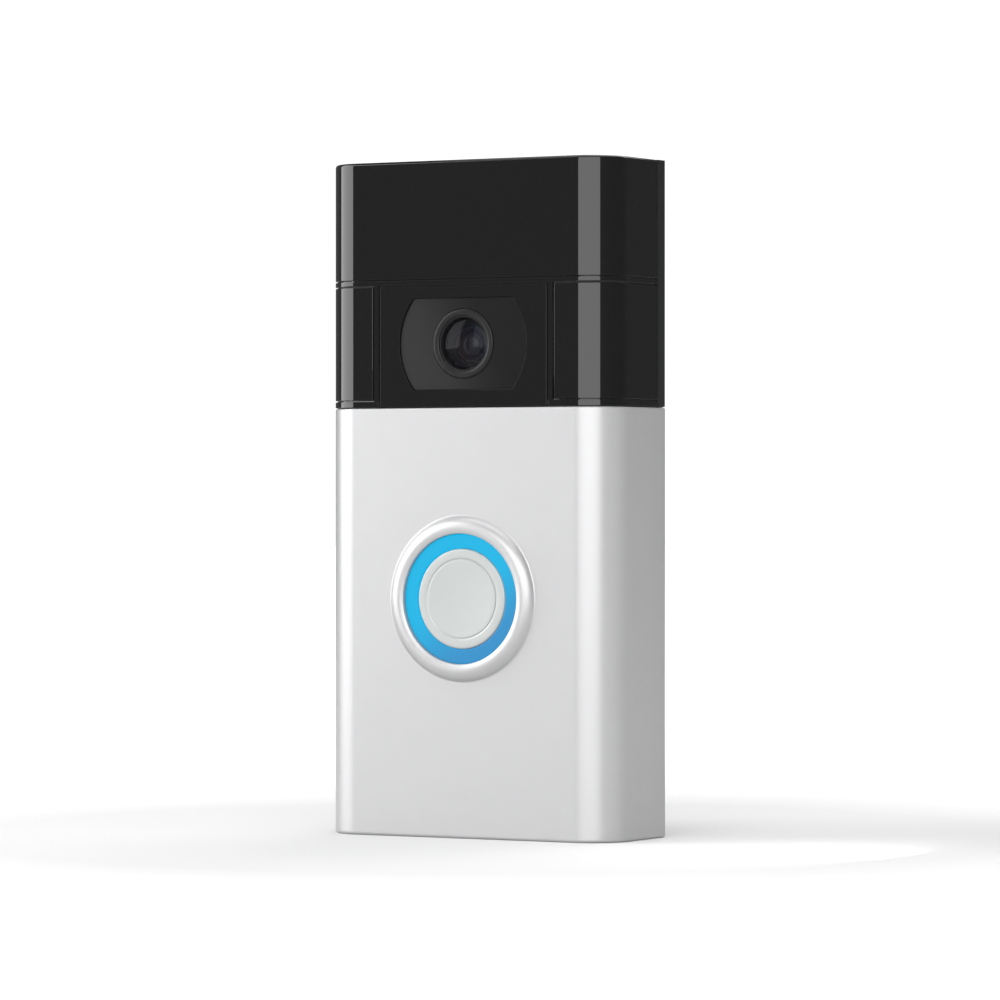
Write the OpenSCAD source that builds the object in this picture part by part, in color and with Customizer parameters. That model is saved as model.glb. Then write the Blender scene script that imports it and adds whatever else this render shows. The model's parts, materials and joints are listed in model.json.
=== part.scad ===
// Battery video doorbell on its wall bracket.
// Millimetres. X runs to the right seen from the front, Y towards the wall and Z up.
// The origin is under the middle of the whole assembly, on the surface that it stands on.

/* [Body] */
// Width across the sides
body_w = 62; // [54:1:76]
// Height from the bottom edge to the top
body_h = 126.5; // [122:0.5:152]
// Depth of the shell, from its flat front to its back edge
shell_d = 22; // [20:0.5:28]
// Radius of the upright front corners
corner_r = 7.3; // [4:0.1:9]
// Wall of the outer covers
wall = 1.6; // [1.3:0.1:2]
// Wall of the inner frame and of the rear housing's sides
frame_t = 1.4; // [1.1:0.1:1.8]
// Wall of the housing's back
rear_t = 2; // [1.6:0.1:2.4]

/* [Front sections] */
// Height of the silver faceplate
face_h = 80.4; // [76:0.1:84]
// Height of the glossy strip above the faceplate, with half its seam
lower_band = 1.24; // [1:0.01:2]
// Height of the camera section, between its two seams
camera_h = 21.51; // [20:0.01:25]
// Height of the glossy strip above the camera section, between its seams
upper_band = 1.1; // [0.8:0.01:2]
// Width of the seams between the black covers
seam = 0.25; // [0.15:0.05:0.4]
// Depth of the housing's rim that shows behind the black covers
rear_rim = 2.6; // [2:0.1:3.2]

/* [Camera] */
// Height of the lens above the faceplate
lens_up = 11.8; // [10.5:0.1:13]
// Width of the middle panel, between its seams
panel_w = 36.2; // [32:0.1:38]
// Width of the rib on each side of the panel
rib_w = 1.3; // [1:0.1:2]
// Width of the window across its round ends
window_w = 27.4; // [24:0.1:29]
// Height of the window
window_h = 17.2; // [15:0.1:18]
// Outside diameter of the lens bezel
lens_bezel_d = 13; // [12:0.1:14]
// Diameter of the front lens
lens_d = 9.3; // [8:0.1:10]
// Travel of the infrared filter
filter_travel = 4; // [3.5:0.1:4.2]

/* [Button] */
// Height of the button's centre
button_z = 44.65; // [40:0.05:50]
// Width of the raised rim around the halo
rim_w = 3.35; // [2.8:0.05:4.5]
// Height of the raised rim over the front
rim_proud = 1.4; // [0.8:0.1:2]
// Outside diameter of the lit halo
halo_d = 24.2; // [20.8:0.1:30]
// Width of the halo's lit ring
halo_w = 2.63; // [2.2:0.01:3.4]
// How far the fine groove is inside the cap's edge
groove_in = 1.87; // [1.3:0.01:3]
// Travel of the button
button_travel = 0.6; // [0.4:0.1:0.7]

/* [Bracket] */
// Depth of the bracket, from the shell's back to the wall
bracket_d = 4.6; // [4:0.1:6]
// How far the bracket stands in from the body's sides
bracket_in = 3.5; // [2.5:0.1:4.4]
// How far the bracket's top is below the body's top
bracket_drop = 4; // [2:0.5:8]
// Thickness of the bracket's plate
plate_t = 2; // [1.5:0.1:2.4]
// Spacing of the wall screw holes across
wall_hole_w = 30; // [24:1:32]
// Spacing of the wall screw holes in height
wall_hole_h = 92; // [80:1:95]
// Diameter of the wall screw holes
wall_hole_d = 4.4; // [3.5:0.1:5]
// Width of the opening that the bell wires come through
wire_gap_w = 30; // [24:1:32]
// Height of the opening that the bell wires come through
wire_gap_h = 22; // [16:1:24]
// Radius of the bracket's corners
bracket_r = 4; // [2:0.5:6]
// Lift that frees the doorbell from the bracket's hooks
lift = 5.5; // [4.6:0.1:6]

/* [Rear controls] */
// Diameter of the setup button
setup_d = 6; // [5:0.1:7]
// Travel of the setup button
setup_travel = 0.5; // [0.3:0.1:0.6]

/* [Hidden] */
$fn = 64;
// Clearances: loose parts, seated parts, sliding parts
gap = 0.2;
fit = 0.05;
slip = 0.1;
// Thickness of the circuit boards
board_t = 1;

// Depths, from the front to the wall
depth = rim_proud + shell_d + bracket_d;
y_front = -depth / 2 + rim_proud;
y_cover = y_front + wall;
y_frame = y_cover + gap;
y_frame_in = y_frame + frame_t;
y_back = y_front + shell_d;
y_rear_in = y_back - rear_t;
y_rim = y_back - rear_rim;
y_cover_back = y_rim - gap;
y_wall = y_back + bracket_d;
y_plate = y_wall - plate_t;
gasket_t = 0.8;
y_split = y_back - 5.8;
y_housing = y_split + gasket_t;

// Insets of the frame's outside and of the room inside it
frame_in = wall + gap;
room_in = frame_in + frame_t;
room_x = body_w / 2 - room_in;
room_top = body_h - room_in;

// Depth of the seams beside the strips
seam_deep = 0.4;

// Heights of the seams
z_lower = face_h + lower_band;
z_upper = z_lower + camera_h;
z_top = z_upper + upper_band;
lens_z = face_h + lens_up;

// Button stack
halo_r = halo_d / 2;
cap_r = halo_r - halo_w - slip;
rim_r = halo_r + rim_w;
halo_proud = 0.5;
halo_foot = 1.1;
cap_proud = 0.4;
cap_wall = 1.2;
cap_lip = 1;
flange_t = 1;
cap_lip_y = y_frame_in - 0.3;
y_halo_board = y_frame_in + 2.2;
light_box_r = halo_r + halo_foot + 1.2;
switch_t = 2.1;
switch_w = 6;
plunger_r = 1.5;
plunger_out = 0.8;
halo_leds_n = 12;
// Raised rim: a round bead whose top is this far inside its outer edge
rim_reach = 2.2;
rim_rho = (rim_reach * rim_reach + rim_proud * rim_proud) / (2 * rim_proud);

// Main board and battery
y_main = y_halo_board + board_t + 1.2;
y_main_back = y_main + board_t;
shield_t = 1.8;
y_battery = y_main_back + shield_t + 0.5;
pad_t = 0.6;
battery_z = 17;
battery_top = 75;

// Housing screws
boss_r = 2.4;
screw_x = room_x - 3.3;
screw_z = [8.5, 66, body_h - 7];
screw_r = 1;
screw_head_r = 2;
screw_deep = 9;
inner_w = 2 * (screw_x - boss_r - 0.5);

// Hooks of the bracket and the pockets that they stand in
hook_w = 5;
hook_t = 1.2;
hook_stem = 2;
hook_up = 4;
pocket_w = hook_w + 0.8;
pocket_d = 4.5;
pocket_wall = 1.1;
hook_x = room_x - pocket_w / 2 - 1;
hook_z = [32, body_h - 22];
y_hook = y_back - 3.4;
battery_w = 2 * (hook_x - pocket_w / 2 - pocket_wall - 0.4);

// Lugs and security screws
lug_x = 14;
lug_w = 7;
lug_d = 5.2;
lug_h = 4;
lug_z = room_in + lift + 0.7;
lug_gap = 0.6;
guard_y = y_back - 3.2;
guard_r = 1.2;
guard_head_r = 2.3;
guard_head_t = 1;
guard_low = 0.1;

// Speaker, microphone and the sound slots under them
speaker_y = y_frame_in + 6.4;
speaker_w = 20;
speaker_l = 11;
speaker_h = 4.6;
slot_n = 4;
slot_l = 12;
slot_w = 1.2;
slot_pitch = 2.2;
mic_x = 18;
mic_r = 0.6;

// Camera stack, from the front
window_drop = 0.35;
window_flange = 1;
window_flange_t = 1;
y_bezel = y_front + 0.15;
bezel_t = 2.85;
y_barrel = y_bezel + bezel_t;
barrel_r = lens_bezel_d / 2 - 0.5;
barrel_t = 4.4;
y_lamp_board = y_barrel + 1;
lamp_board_t = 0.8;
lamp_x = 10.4;
lamp_w = 3;
y_holder = y_lamp_board + lamp_board_t + 0.2;
y_filter = y_barrel + barrel_t + 0.3;
filter_t = 1;
y_sensor = y_filter + filter_t + 3;
holder_w = 20;
holder_h = 13;
filter_r = 1.8;
carrier_z = 3.6;
arm = 4;
arm_angle = asin(filter_travel / 2 / arm);
pin_r = 0.5;
rotor_r = 2;
rotor_z = lens_z + holder_h / 2 + arm + 1.9;
motor_w = 10;
motor_half = 2.9;
y_arm = y_filter + filter_t + 0.2;
arm_t = 0.8;

// Motion sensing
motion_w = inner_w - 1;
motion_z0 = max(z_top + 3.2, rotor_z + motor_half + 0.4);
motion_z1 = room_top - 0.6;
motion_z = (motion_z0 + motion_z1) / 2;
y_motion = y_frame_in + 7.2;
can_r = 4.1;
can_t = 3;
can_x = 11;

// Rear controls
control_z = z_upper - 6;
setup_x = -12;
y_ports = y_sensor + board_t + 0.9;
port_w = 9;
port_h = 3.2;
terminal_x = 8;
terminal_z = face_h + 1.2;
terminal_r = 1.5;

// ---- Shapes that repeat ----

// Plan of the body, drawn in from its sides and front by inset and cut off at back.
module plan(inset, back) {
    half = body_w / 2 - inset;
    r = corner_r - inset;
    front = y_front + inset;
    translate([-half, front + r]) square([2 * half, back - front - r]);
    translate([r - half, front]) square([2 * (half - r), r + 1]);
    for (side = [-1, 1]) {
        translate([side * (half - r), front + r]) circle(r);
    }
}

// Upright block with that plan.
module block(inset, back, z0, z1) {
    translate([0, 0, z0]) linear_extrude(z1 - z0) plan(inset, back);
}

// Box between two corners.
module span(low, high) {
    translate(low) cube(high - low);
}

// Box w wide, centred on x = 0.
module middle(w, y0, y1, z0, z1) {
    span([-w / 2, y0, z0], [w / 2, y1, z1]);
}

// Plate along the wall, w wide and centred on x = 0, with round corners.
module rounded(w, r, y0, y1, z0, z1) {
    translate([0, y1, 0]) rotate([90, 0, 0]) linear_extrude(y1 - y0) {
        translate([r - w / 2, z0]) square([w - 2 * r, z1 - z0]);
        translate([-w / 2, z0 + r]) square([w, z1 - z0 - 2 * r]);
        for (x = [-1, 1], z = [z0 + r, z1 - r]) {
            translate([x * (w / 2 - r), z]) circle(r);
        }
    }
}

// Round bar along Y.
module rod(x, z, r, y0, y1) {
    translate([x, y0, z]) rotate([-90, 0, 0]) cylinder(r = r, h = y1 - y0);
}

// Round bar along Z.
module post(x, y, r, z0, z1) {
    translate([x, y, z0]) cylinder(r = r, h = z1 - z0);
}

// Shape turned about an axis along Y: the profile's x is the radius and its y is the depth.
module turned(z) {
    translate([0, 0, z]) rotate([-90, 0, 0]) rotate_extrude() children();
}

// The same on both sides.
module both() {
    children();
    mirror([1, 0, 0]) children();
}

// Outline of the camera window, grown by more: a circle with a flat top and bottom.
module window_shape(more, y0, y1) {
    intersection() {
        rod(0, lens_z, window_w / 2 + more, y0, y1);
        middle(window_w + 4, y0, y1, lens_z - window_h / 2 - more, lens_z + window_h / 2 + more);
    }
}

// Screw along Y with a cross recess in its head, which faces the back.
module rear_screw(x, z, r, head_r, tip, seat, top) {
    recess = 0.6;
    difference() {
        union() {
            rod(x, z, r, tip, seat + fit);
            rod(x, z, head_r, seat, top);
        }
        for (turn = [0, 90]) {
            translate([x, top - recess, z]) rotate([0, turn, 0])
                span([-head_r * 0.6, 0, -0.25], [head_r * 0.6, recess + 1, 0.25]);
        }
    }
}

// Sound slots through a bottom wall.
module sound_slots(z0, z1) {
    half = slot_l / 2 - slot_w / 2;
    for (n = [0 : slot_n - 1]) {
        y = speaker_y + (n - (slot_n - 1) / 2) * slot_pitch;
        span([-half, y - slot_w / 2, z0], [half, y + slot_w / 2, z1]);
        both() post(half, y, slot_w / 2, z0, z1);
    }
}

// ---- Outer covers ----

module faceplate() {
    color([0.85, 0.85, 0.86]) difference() {
        union() {
            difference() {
                block(0, y_back, 0, face_h - seam / 2);
                block(wall, y_back + 1, wall, face_h + 1);
            }
            turned(button_z) intersection() {
                translate([rim_r - rim_reach, y_front - rim_proud + rim_rho]) circle(rim_rho);
                translate([halo_r, y_front - rim_proud])
                    square([rim_r - halo_r + rim_rho, rim_proud + wall / 2]);
            }
        }
        rod(0, button_z, halo_r + fit, y_front - rim_proud - 1, y_cover + 1);
        sound_slots(-1, wall + 1);
        post(mic_x, speaker_y, mic_r, -1, wall + 1);
        both() post(lug_x, guard_y, guard_r + slip, -1, wall + 1);
        both() post(lug_x, guard_y, guard_head_r + gap, -1, guard_low + guard_head_t);
    }
}

module top_cover() {
    color([0.08, 0.08, 0.09]) difference() {
        block(0, y_cover_back, z_top + seam / 2, body_h);
        block(wall, y_cover_back + 1, z_top - 1, body_h - wall);
    }
}

module side_cover() {
    z0 = z_lower + seam / 2;
    z1 = z_upper - seam / 2;
    intersection() {
        difference() {
            block(0, y_cover_back, z0, z1);
            block(wall, y_cover_back + 1, z0 - 1, z1 + 1);
        }
        span([panel_w / 2 + rib_w + seam / 2, y_front - 1, z0], [body_w, y_back, z1]);
    }
}

module side_cover_right() {
    color([0.09, 0.09, 0.1]) side_cover();
}

module side_cover_left() {
    color([0.09, 0.09, 0.1]) mirror([1, 0, 0]) side_cover();
}

module camera_panel() {
    color([0.07, 0.07, 0.08]) difference() {
        intersection() {
            block(0, y_cover, face_h + fit, z_upper - seam / 2);
            middle(panel_w - seam, y_front - 1, y_cover, face_h, z_upper);
        }
        window_shape(0, y_front - 1, y_cover + 1);
    }
}

module camera_window() {
    color([0.2, 0.2, 0.21]) difference() {
        union() {
            window_shape(-fit, y_front + window_drop, y_cover + fit);
            window_shape(window_flange, y_cover, y_cover + window_flange_t);
        }
        rod(0, lens_z, lens_bezel_d / 2 + fit, y_front - 1, y_cover + window_flange_t + 1);
    }
}

// Inner frame behind the covers: it carries the two glossy strips and the ribs in its surface.
module front_frame() {
    color([0.12, 0.12, 0.13]) difference() {
        union() {
            difference() {
                block(frame_in, y_split, frame_in, body_h - frame_in);
                block(room_in, y_split + 1, room_in, room_top);
            }
            frame_strip(face_h + fit, z_lower - seam / 2);
            strip_root(face_h - seam / 2, z_lower + seam / 2);
            frame_strip(z_upper + seam / 2, z_top - seam / 2);
            strip_root(z_upper - seam / 2, z_top + seam / 2);
            intersection() {
                block(0, y_frame + fit, z_lower - 1, z_upper + 1);
                both() span([panel_w / 2 + seam / 2, y_front, z_lower - seam],
                    [panel_w / 2 + rib_w - seam / 2, y_frame + fit, z_upper + seam]);
            }
            for (z = screw_z) {
                both() rod(screw_x, z, boss_r, y_frame_in - fit, y_split);
            }
        }
        middle(panel_w + seam, y_front - 1, y_frame, face_h - 1, z_lower + seam);
        window_shape(window_flange + gap, y_front - 1, y_frame_in + 1);
        rod(0, button_z, halo_r + fit, y_front - 1, y_frame_in + 1);
        middle(motion_w - 3, y_frame - 1, y_frame_in + 1, motion_z0 + 1, motion_z1 - 1);
        sound_slots(frame_in - 1, room_in + 1);
        post(mic_x, speaker_y, mic_r, frame_in - 1, room_in + 1);
        for (z = screw_z) {
            both() rod(screw_x, z, screw_r + slip, y_split - screw_deep, y_split + 1);
        }
    }
}

// Strip of the frame that comes out flush with the covers.
module frame_strip(z0, z1) {
    difference() {
        block(0, y_cover_back, z0, z1);
        block(wall, y_cover_back + 1, z0 - 1, z1 + 1);
    }
    difference() {
        block(wall - fit, y_split, z0, z1);
        block(frame_in + fit, y_split + 1, z0 - 1, z1 + 1);
    }
}

// Root of a strip: it fills the seams on both sides, a little below the surface of the covers.
module strip_root(z0, z1) {
    difference() {
        block(seam_deep, y_cover_back, z0 + fit, z1 - fit);
        block(wall, y_cover_back + 1, z0 - 1, z1 + 1);
    }
}

// ---- Camera ----

module lens_bezel() {
    r = lens_bezel_d / 2;
    bore = lens_d / 2 + fit;
    mouth = bore + 0.5;
    color([0.15, 0.15, 0.16]) turned(lens_z) polygon([
        [mouth, y_bezel], [r - 0.3, y_bezel], [r, y_bezel + 0.3],
        [r, y_barrel], [bore, y_barrel], [bore, y_bezel + 0.7]
    ]);
}

module front_lens() {
    lens_rho = 14;
    apex = y_bezel + fit;
    color([0.15, 0.2, 0.35, 0.6]) intersection() {
        translate([0, apex + lens_rho, lens_z]) sphere(lens_rho);
        rod(0, lens_z, lens_d / 2, apex - 1, y_barrel - 0.3);
    }
}

module lens_barrel() {
    throat = filter_r + 0.4;
    color([0.1, 0.1, 0.1]) difference() {
        rod(0, lens_z, barrel_r, y_barrel, y_barrel + barrel_t);
        rod(0, lens_z, barrel_r - 2.4, y_barrel - 1, y_barrel + barrel_t - 1);
        rod(0, lens_z, throat, y_barrel, y_barrel + barrel_t + 1);
    }
}

module inner_lenses() {
    r = barrel_r - 2.4 - fit;
    rho = 6;
    color([0.2, 0.25, 0.4, 0.6]) {
        intersection() {
            translate([0, y_barrel + 0.2 + rho, lens_z]) sphere(rho);
            rod(0, lens_z, r, y_barrel, y_barrel + 1.6);
        }
        rod(0, lens_z, r, y_barrel + 2, y_barrel + barrel_t - 1 - fit);
    }
}

// Holder of the lens barrel, with the filter's slot across it and the sensor's room behind.
module lens_holder() {
    slot_x = filter_travel + filter_r + 2.6;
    slot_z = carrier_z + 0.2;
    tail_slot = filter_travel + 4.8;
    sensor_room = 8;
    color([0.2, 0.2, 0.2]) difference() {
        middle(holder_w, y_holder, y_sensor, lens_z - holder_h / 2, lens_z + holder_h / 2);
        rod(0, lens_z, barrel_r + fit, y_holder - 1, y_barrel + barrel_t + gap);
        rod(0, lens_z, filter_r + 0.2, y_holder, y_sensor);
        middle(2 * slot_x, y_filter - slip, y_filter + filter_t + slip,
            lens_z - slot_z, lens_z + slot_z);
        middle(tail_slot, y_filter - slip, y_filter + filter_t + slip,
            lens_z, lens_z + holder_h);
        middle(sensor_room, y_sensor - 2, y_sensor + 1, lens_z - sensor_room / 2,
            lens_z + sensor_room / 2);
    }
}

// Slide with two filter windows and a tail that the rotor's pin works in.
module filter_carrier() {
    tail_x = -filter_travel / 2;
    tail_half = 1.8;
    tail_top = rotor_z - arm * cos(arm_angle) + pin_r + 0.9;
    slot_low = rotor_z - arm - pin_r - 0.3;
    color([0.3, 0.3, 0.3]) difference() {
        union() {
            span([-filter_travel - filter_r - 1, y_filter, lens_z - carrier_z],
                [filter_r + 1, y_filter + filter_t, lens_z + carrier_z]);
            span([tail_x - tail_half, y_filter, lens_z],
                [tail_x + tail_half, y_filter + filter_t, tail_top + 0.6]);
        }
        for (x = [0, -filter_travel]) {
            rod(x, lens_z, filter_r, y_filter - 1, y_filter + filter_t + 1);
        }
        span([tail_x - pin_r - 0.4, y_filter - 1, slot_low],
            [tail_x + pin_r + 0.4, y_filter + filter_t + 1, tail_top]);
    }
}

module filter_glasses() {
    color([0.5, 0.7, 0.7, 0.6]) for (x = [0, -filter_travel]) {
        rod(x, lens_z, filter_r - 0.02, y_filter + 0.3, y_filter + filter_t - 0.2);
    }
}

module filter_rotor() {
    color([0.5, 0.5, 0.52]) {
        rod(0, rotor_z, rotor_r, y_arm + arm_t, y_sensor - slip);
        translate([0, 0, rotor_z]) rotate([0, arm_angle, 0]) {
            rod(0, 0, 1.4, y_arm, y_arm + arm_t + fit);
            span([-0.8, y_arm, -arm], [0.8, y_arm + arm_t, 0]);
            rod(0, -arm, 0.8, y_arm, y_arm + arm_t);
            rod(0, -arm, pin_r, y_filter + 0.2, y_arm + fit);
        }
    }
}

module filter_motor() {
    color([0.75, 0.45, 0.2]) difference() {
        middle(motor_w, y_arm + arm_t + 0.2, y_sensor,
            rotor_z - motor_half, rotor_z + motor_half);
        rod(0, rotor_z, rotor_r + 0.08, y_arm, y_sensor + 1);
    }
}

module image_sensor() {
    color([0.25, 0.3, 0.35]) middle(6.4, y_sensor - 0.9, y_sensor, lens_z - 2.6, lens_z + 2.6);
}

module sensor_board() {
    color([0.1, 0.35, 0.2])
        middle(holder_w, y_sensor, y_sensor + board_t, lens_z - holder_h / 2 - 2,
            rotor_z + motor_half + 0.3);
}

module infrared_board() {
    board_w = 2 * (lamp_x + lamp_w / 2 + 4.1);
    color([0.1, 0.35, 0.2]) difference() {
        middle(board_w, y_lamp_board, y_lamp_board + lamp_board_t, lens_z - 7, lens_z + 7);
        rod(0, lens_z, barrel_r + gap, y_lamp_board - 1, y_lamp_board + 2);
    }
}

module infrared_leds() {
    base_t = 0.6;
    dome_r = 1.1;
    color([0.75, 0.7, 0.75]) for (z = [-4, 4]) {
        both() {
            span([lamp_x - lamp_w / 2, y_lamp_board - base_t, lens_z + z - lamp_w / 2],
                [lamp_x + lamp_w / 2, y_lamp_board, lens_z + z + lamp_w / 2]);
            rod(lamp_x, lens_z + z, dome_r, y_lamp_board - dome_r, y_lamp_board - base_t + fit);
        }
    }
}

// ---- Motion sensing ----

// Lens sheet in the frame's upper opening, with upright facets on its inner face.
module motion_lens() {
    facets = 7;
    w = motion_w - 3 - 2 * gap;
    pitch = w / facets;
    color([0.25, 0.25, 0.26]) difference() {
        middle(w, y_frame, y_frame + 1.2, motion_z0 + 1 + gap, motion_z1 - 1 - gap);
        for (n = [0 : facets - 1]) {
            post((n - (facets - 1) / 2) * pitch, y_frame + 4.6, 4, motion_z0, motion_z1);
        }
    }
}

module motion_holder() {
    t = 1.2;
    color([0.15, 0.15, 0.15]) difference() {
        middle(motion_w, y_frame_in, y_motion, motion_z0, motion_z1);
        both() span([t / 2, y_frame_in - 1, motion_z0 + t],
            [motion_w / 2 - t, y_motion - can_t - 0.4, motion_z1 - t]);
        both() rod(can_x, motion_z, can_r + slip, y_frame_in, y_motion + 1);
    }
}

module motion_sensors() {
    color([0.75, 0.73, 0.65]) both() difference() {
        rod(can_x, motion_z, can_r, y_motion - can_t, y_motion);
        span([can_x - 2, y_motion - can_t - 1, motion_z - 1.5],
            [can_x + 2, y_motion - can_t + 0.2, motion_z + 1.5]);
    }
}

module motion_board() {
    color([0.1, 0.35, 0.2]) middle(motion_w, y_motion, y_motion + board_t, motion_z0, motion_z1);
}

// ---- Button and halo ----

module halo_light_guide() {
    bore = cap_r + slip;
    y_step = cap_lip_y - slip;
    color([0.25, 0.7, 0.95]) turned(button_z) polygon([
        [bore, y_front - halo_proud], [halo_r, y_front - halo_proud],
        [halo_r, y_frame_in], [halo_r + halo_foot, y_frame_in],
        [halo_r + halo_foot, y_frame_in + flange_t], [bore + cap_lip, y_frame_in + flange_t],
        [bore + cap_lip, y_step], [bore, y_step]
    ]);
}

module light_box() {
    color([0.9, 0.9, 0.9]) difference() {
        rod(0, button_z, light_box_r, y_frame_in, y_halo_board);
        rod(0, button_z, halo_r + halo_foot + fit, y_frame_in - 1, y_halo_board + 1);
    }
}

module halo_board() {
    color([0.1, 0.35, 0.2]) rod(0, button_z, light_box_r, y_halo_board, y_halo_board + board_t);
}

module halo_leds() {
    track_r = (halo_r + cap_r) / 2;
    color([0.95, 0.95, 0.85]) for (n = [0 : halo_leds_n - 1]) {
        translate([0, 0, button_z]) rotate([0, n * 360 / halo_leds_n, 0])
            span([-0.8, y_halo_board - 0.7, track_r - 0.4], [0.8, y_halo_board, track_r + 0.4]);
    }
}

// Cap with a shallow dish, a fine groove, a skirt with a lip, and a stem onto the switch.
module button_cap() {
    y_cap = y_front - cap_proud;
    y_under = y_cap + wall;
    y_skirt = cap_lip_y + 0.6;
    groove_r = cap_r - groove_in;
    groove_w = 0.16;
    dish_rho = 160;
    dish_deep = 0.15;
    color([0.84, 0.85, 0.85]) difference() {
        union() {
            rod(0, button_z, cap_r, y_cap, y_under);
            difference() {
                rod(0, button_z, cap_r, y_under - fit, y_skirt);
                rod(0, button_z, cap_r - cap_wall, y_under - 1, y_skirt + 1);
            }
            difference() {
                rod(0, button_z, cap_r + cap_lip - slip, cap_lip_y, y_skirt);
                rod(0, button_z, cap_r - cap_wall, cap_lip_y - 1, y_skirt + 1);
            }
            rod(0, button_z, 2.2, y_under - fit, y_halo_board - switch_t - plunger_out);
        }
        turned(button_z) translate([groove_r - groove_w, y_cap - 1])
            square([2 * groove_w, 1.25]);
        translate([0, y_cap + dish_deep - dish_rho, button_z]) sphere(dish_rho, $fn = 256);
    }
}

module button_switch() {
    y0 = y_halo_board - switch_t;
    color([0.2, 0.2, 0.2]) difference() {
        span([-switch_w / 2, y0, button_z - switch_w / 2],
            [switch_w / 2, y_halo_board, button_z + switch_w / 2]);
        rod(0, button_z, plunger_r + slip / 2, y0 - 1, y_halo_board - 0.8);
    }
}

module switch_plunger() {
    y0 = y_halo_board - switch_t - plunger_out;
    color([0.9, 0.75, 0.3]) rod(0, button_z, plunger_r, y0, y0 + plunger_out + 0.5);
}

module button_return_pad() {
    color([0.6, 0.6, 0.62]) difference() {
        rod(0, button_z, cap_r - 0.2, y_halo_board - 1.2, y_halo_board);
        rod(0, button_z, cap_r - 2.6, y_halo_board - 2, y_halo_board + 1);
    }
}

// ---- Boards, battery and radio ----

module main_board() {
    color([0.08, 0.3, 0.18]) middle(inner_w, y_main, y_main_back, battery_z - 1, face_h + 2);
}

module board_connector() {
    z = button_z - light_box_r + 4;
    color([0.85, 0.82, 0.72]) middle(9, y_halo_board + board_t, y_main, z, z + 3.5);
}

module shield_can() {
    t = 0.3;
    w = 26;
    z0 = 46;
    z1 = 70;
    color([0.75, 0.76, 0.78]) difference() {
        middle(w, y_main_back, y_main_back + shield_t, z0, z1);
        middle(w - 2 * t, y_main_back - 1, y_main_back + shield_t - t, z0 + t, z1 - t);
    }
}

module radio_module() {
    corner = [3, 63];
    w = 12;
    h = 14;
    t = 1.8;
    color([0.7, 0.71, 0.73])
        span([corner[0], y_main - t, corner[1]], [corner[0] + w, y_main, corner[1] + h]);
}

module antenna() {
    t = 0.4;
    x = -room_x;
    y = y_split - 8;
    z = 36;
    w = 6;
    h = 22;
    foot = 3;
    color([0.85, 0.7, 0.45]) {
        span([x, y, z], [x + t, y + w, z + h]);
        span([x, y + w / 3, z - foot], [x + t, y + w * 2 / 3, z + fit]);
    }
}

// Flat cable from the camera's board down to the main board.
module camera_ribbon() {
    t = 0.2;
    y0 = y_sensor + board_t;
    z0 = face_h - 1;
    color([0.8, 0.5, 0.2]) {
        middle(8, y0, y0 + t, z0, lens_z);
        middle(8, y_main_back, y0 + fit, z0, z0 + t);
    }
}

module battery() {
    y1 = y_rear_in - pad_t;
    color([0.35, 0.38, 0.42]) {
        middle(battery_w, y_battery, y1, battery_z, battery_top - 3);
        middle(battery_w - 4, y_battery + 0.5, y1 - 0.5, battery_top - 3 - fit, battery_top);
    }
}

module battery_pad() {
    color([0.15, 0.15, 0.15])
        middle(battery_w - 6, y_rear_in - pad_t, y_rear_in, battery_z + 3, battery_top - 6);
}

module battery_plug() {
    color([0.92, 0.92, 0.88])
        span([-18, y_main_back, face_h - 3.4], [-12, y_main_back + 2.2, face_h]);
}

// Two insulated leads from the cell's top to the plug.
module battery_leads() {
    y = y_main_back + 3;
    for (n = [0, 1]) {
        x = -16 + 2 * n;
        z = face_h - 1.7;
        color(n == 0 ? [0.8, 0.1, 0.1] : [0.1, 0.1, 0.1]) {
            post(x, y, 0.5, battery_top, z);
            translate([x, y, z]) sphere(0.5);
            rod(x, z, 0.5, y_main_back + 2.2, y);
        }
    }
}

// ---- Speaker and microphone ----

module speaker_basket() {
    t = 0.8;
    z0 = room_in + 0.4;
    y0 = speaker_y - speaker_l / 2;
    y1 = speaker_y + speaker_l / 2;
    color([0.15, 0.15, 0.15]) difference() {
        middle(speaker_w, y0, y1, z0, z0 + speaker_h);
        middle(speaker_w - 2 * t, y0 + t, y1 - t, z0 - 1, z0 + speaker_h - t);
        post(0, speaker_y, 3, z0, z0 + speaker_h + 1);
    }
}

module speaker_magnet() {
    z0 = room_in + 0.4 + speaker_h;
    color([0.6, 0.6, 0.62]) post(0, speaker_y, 4.2, z0, z0 + 2.4);
}

module speaker_diaphragm() {
    z0 = room_in + 0.9;
    w = speaker_w - 1.6 - 2 * slip;
    l = speaker_l - 1.6 - 2 * slip;
    color([0.25, 0.25, 0.27]) {
        middle(w, speaker_y - l / 2, speaker_y + l / 2, z0, z0 + 0.4);
        post(0, speaker_y, 2.6, z0 + 0.4 - fit, z0 + 3.4);
    }
}

module speaker_gasket() {
    y0 = speaker_y - speaker_l / 2;
    y1 = speaker_y + speaker_l / 2;
    color([0.2, 0.2, 0.2]) difference() {
        middle(speaker_w, y0, y1, room_in, room_in + 0.4);
        middle(speaker_w - 1.6, y0 + 0.8, y1 - 0.8, room_in - 1, room_in + 1);
    }
}

module speaker_mesh() {
    color([0.3, 0.3, 0.3]) middle(slot_l + 3, speaker_y - 5, speaker_y + 5, wall + 0.02, frame_in - 0.02);
}

module microphone() {
    z0 = room_in + 0.8;
    color([0.8, 0.75, 0.5])
        span([mic_x - 2, speaker_y - 1.5, z0], [mic_x + 2, speaker_y + 1.5, z0 + 1.2]);
}

module mic_boot() {
    color([0.2, 0.2, 0.2]) difference() {
        span([mic_x - 2.5, speaker_y - 2, room_in], [mic_x + 2.5, speaker_y + 2, room_in + 0.8]);
        post(mic_x, speaker_y, mic_r, room_in - 1, room_in + 2);
    }
}

// ---- Housing ----

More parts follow.
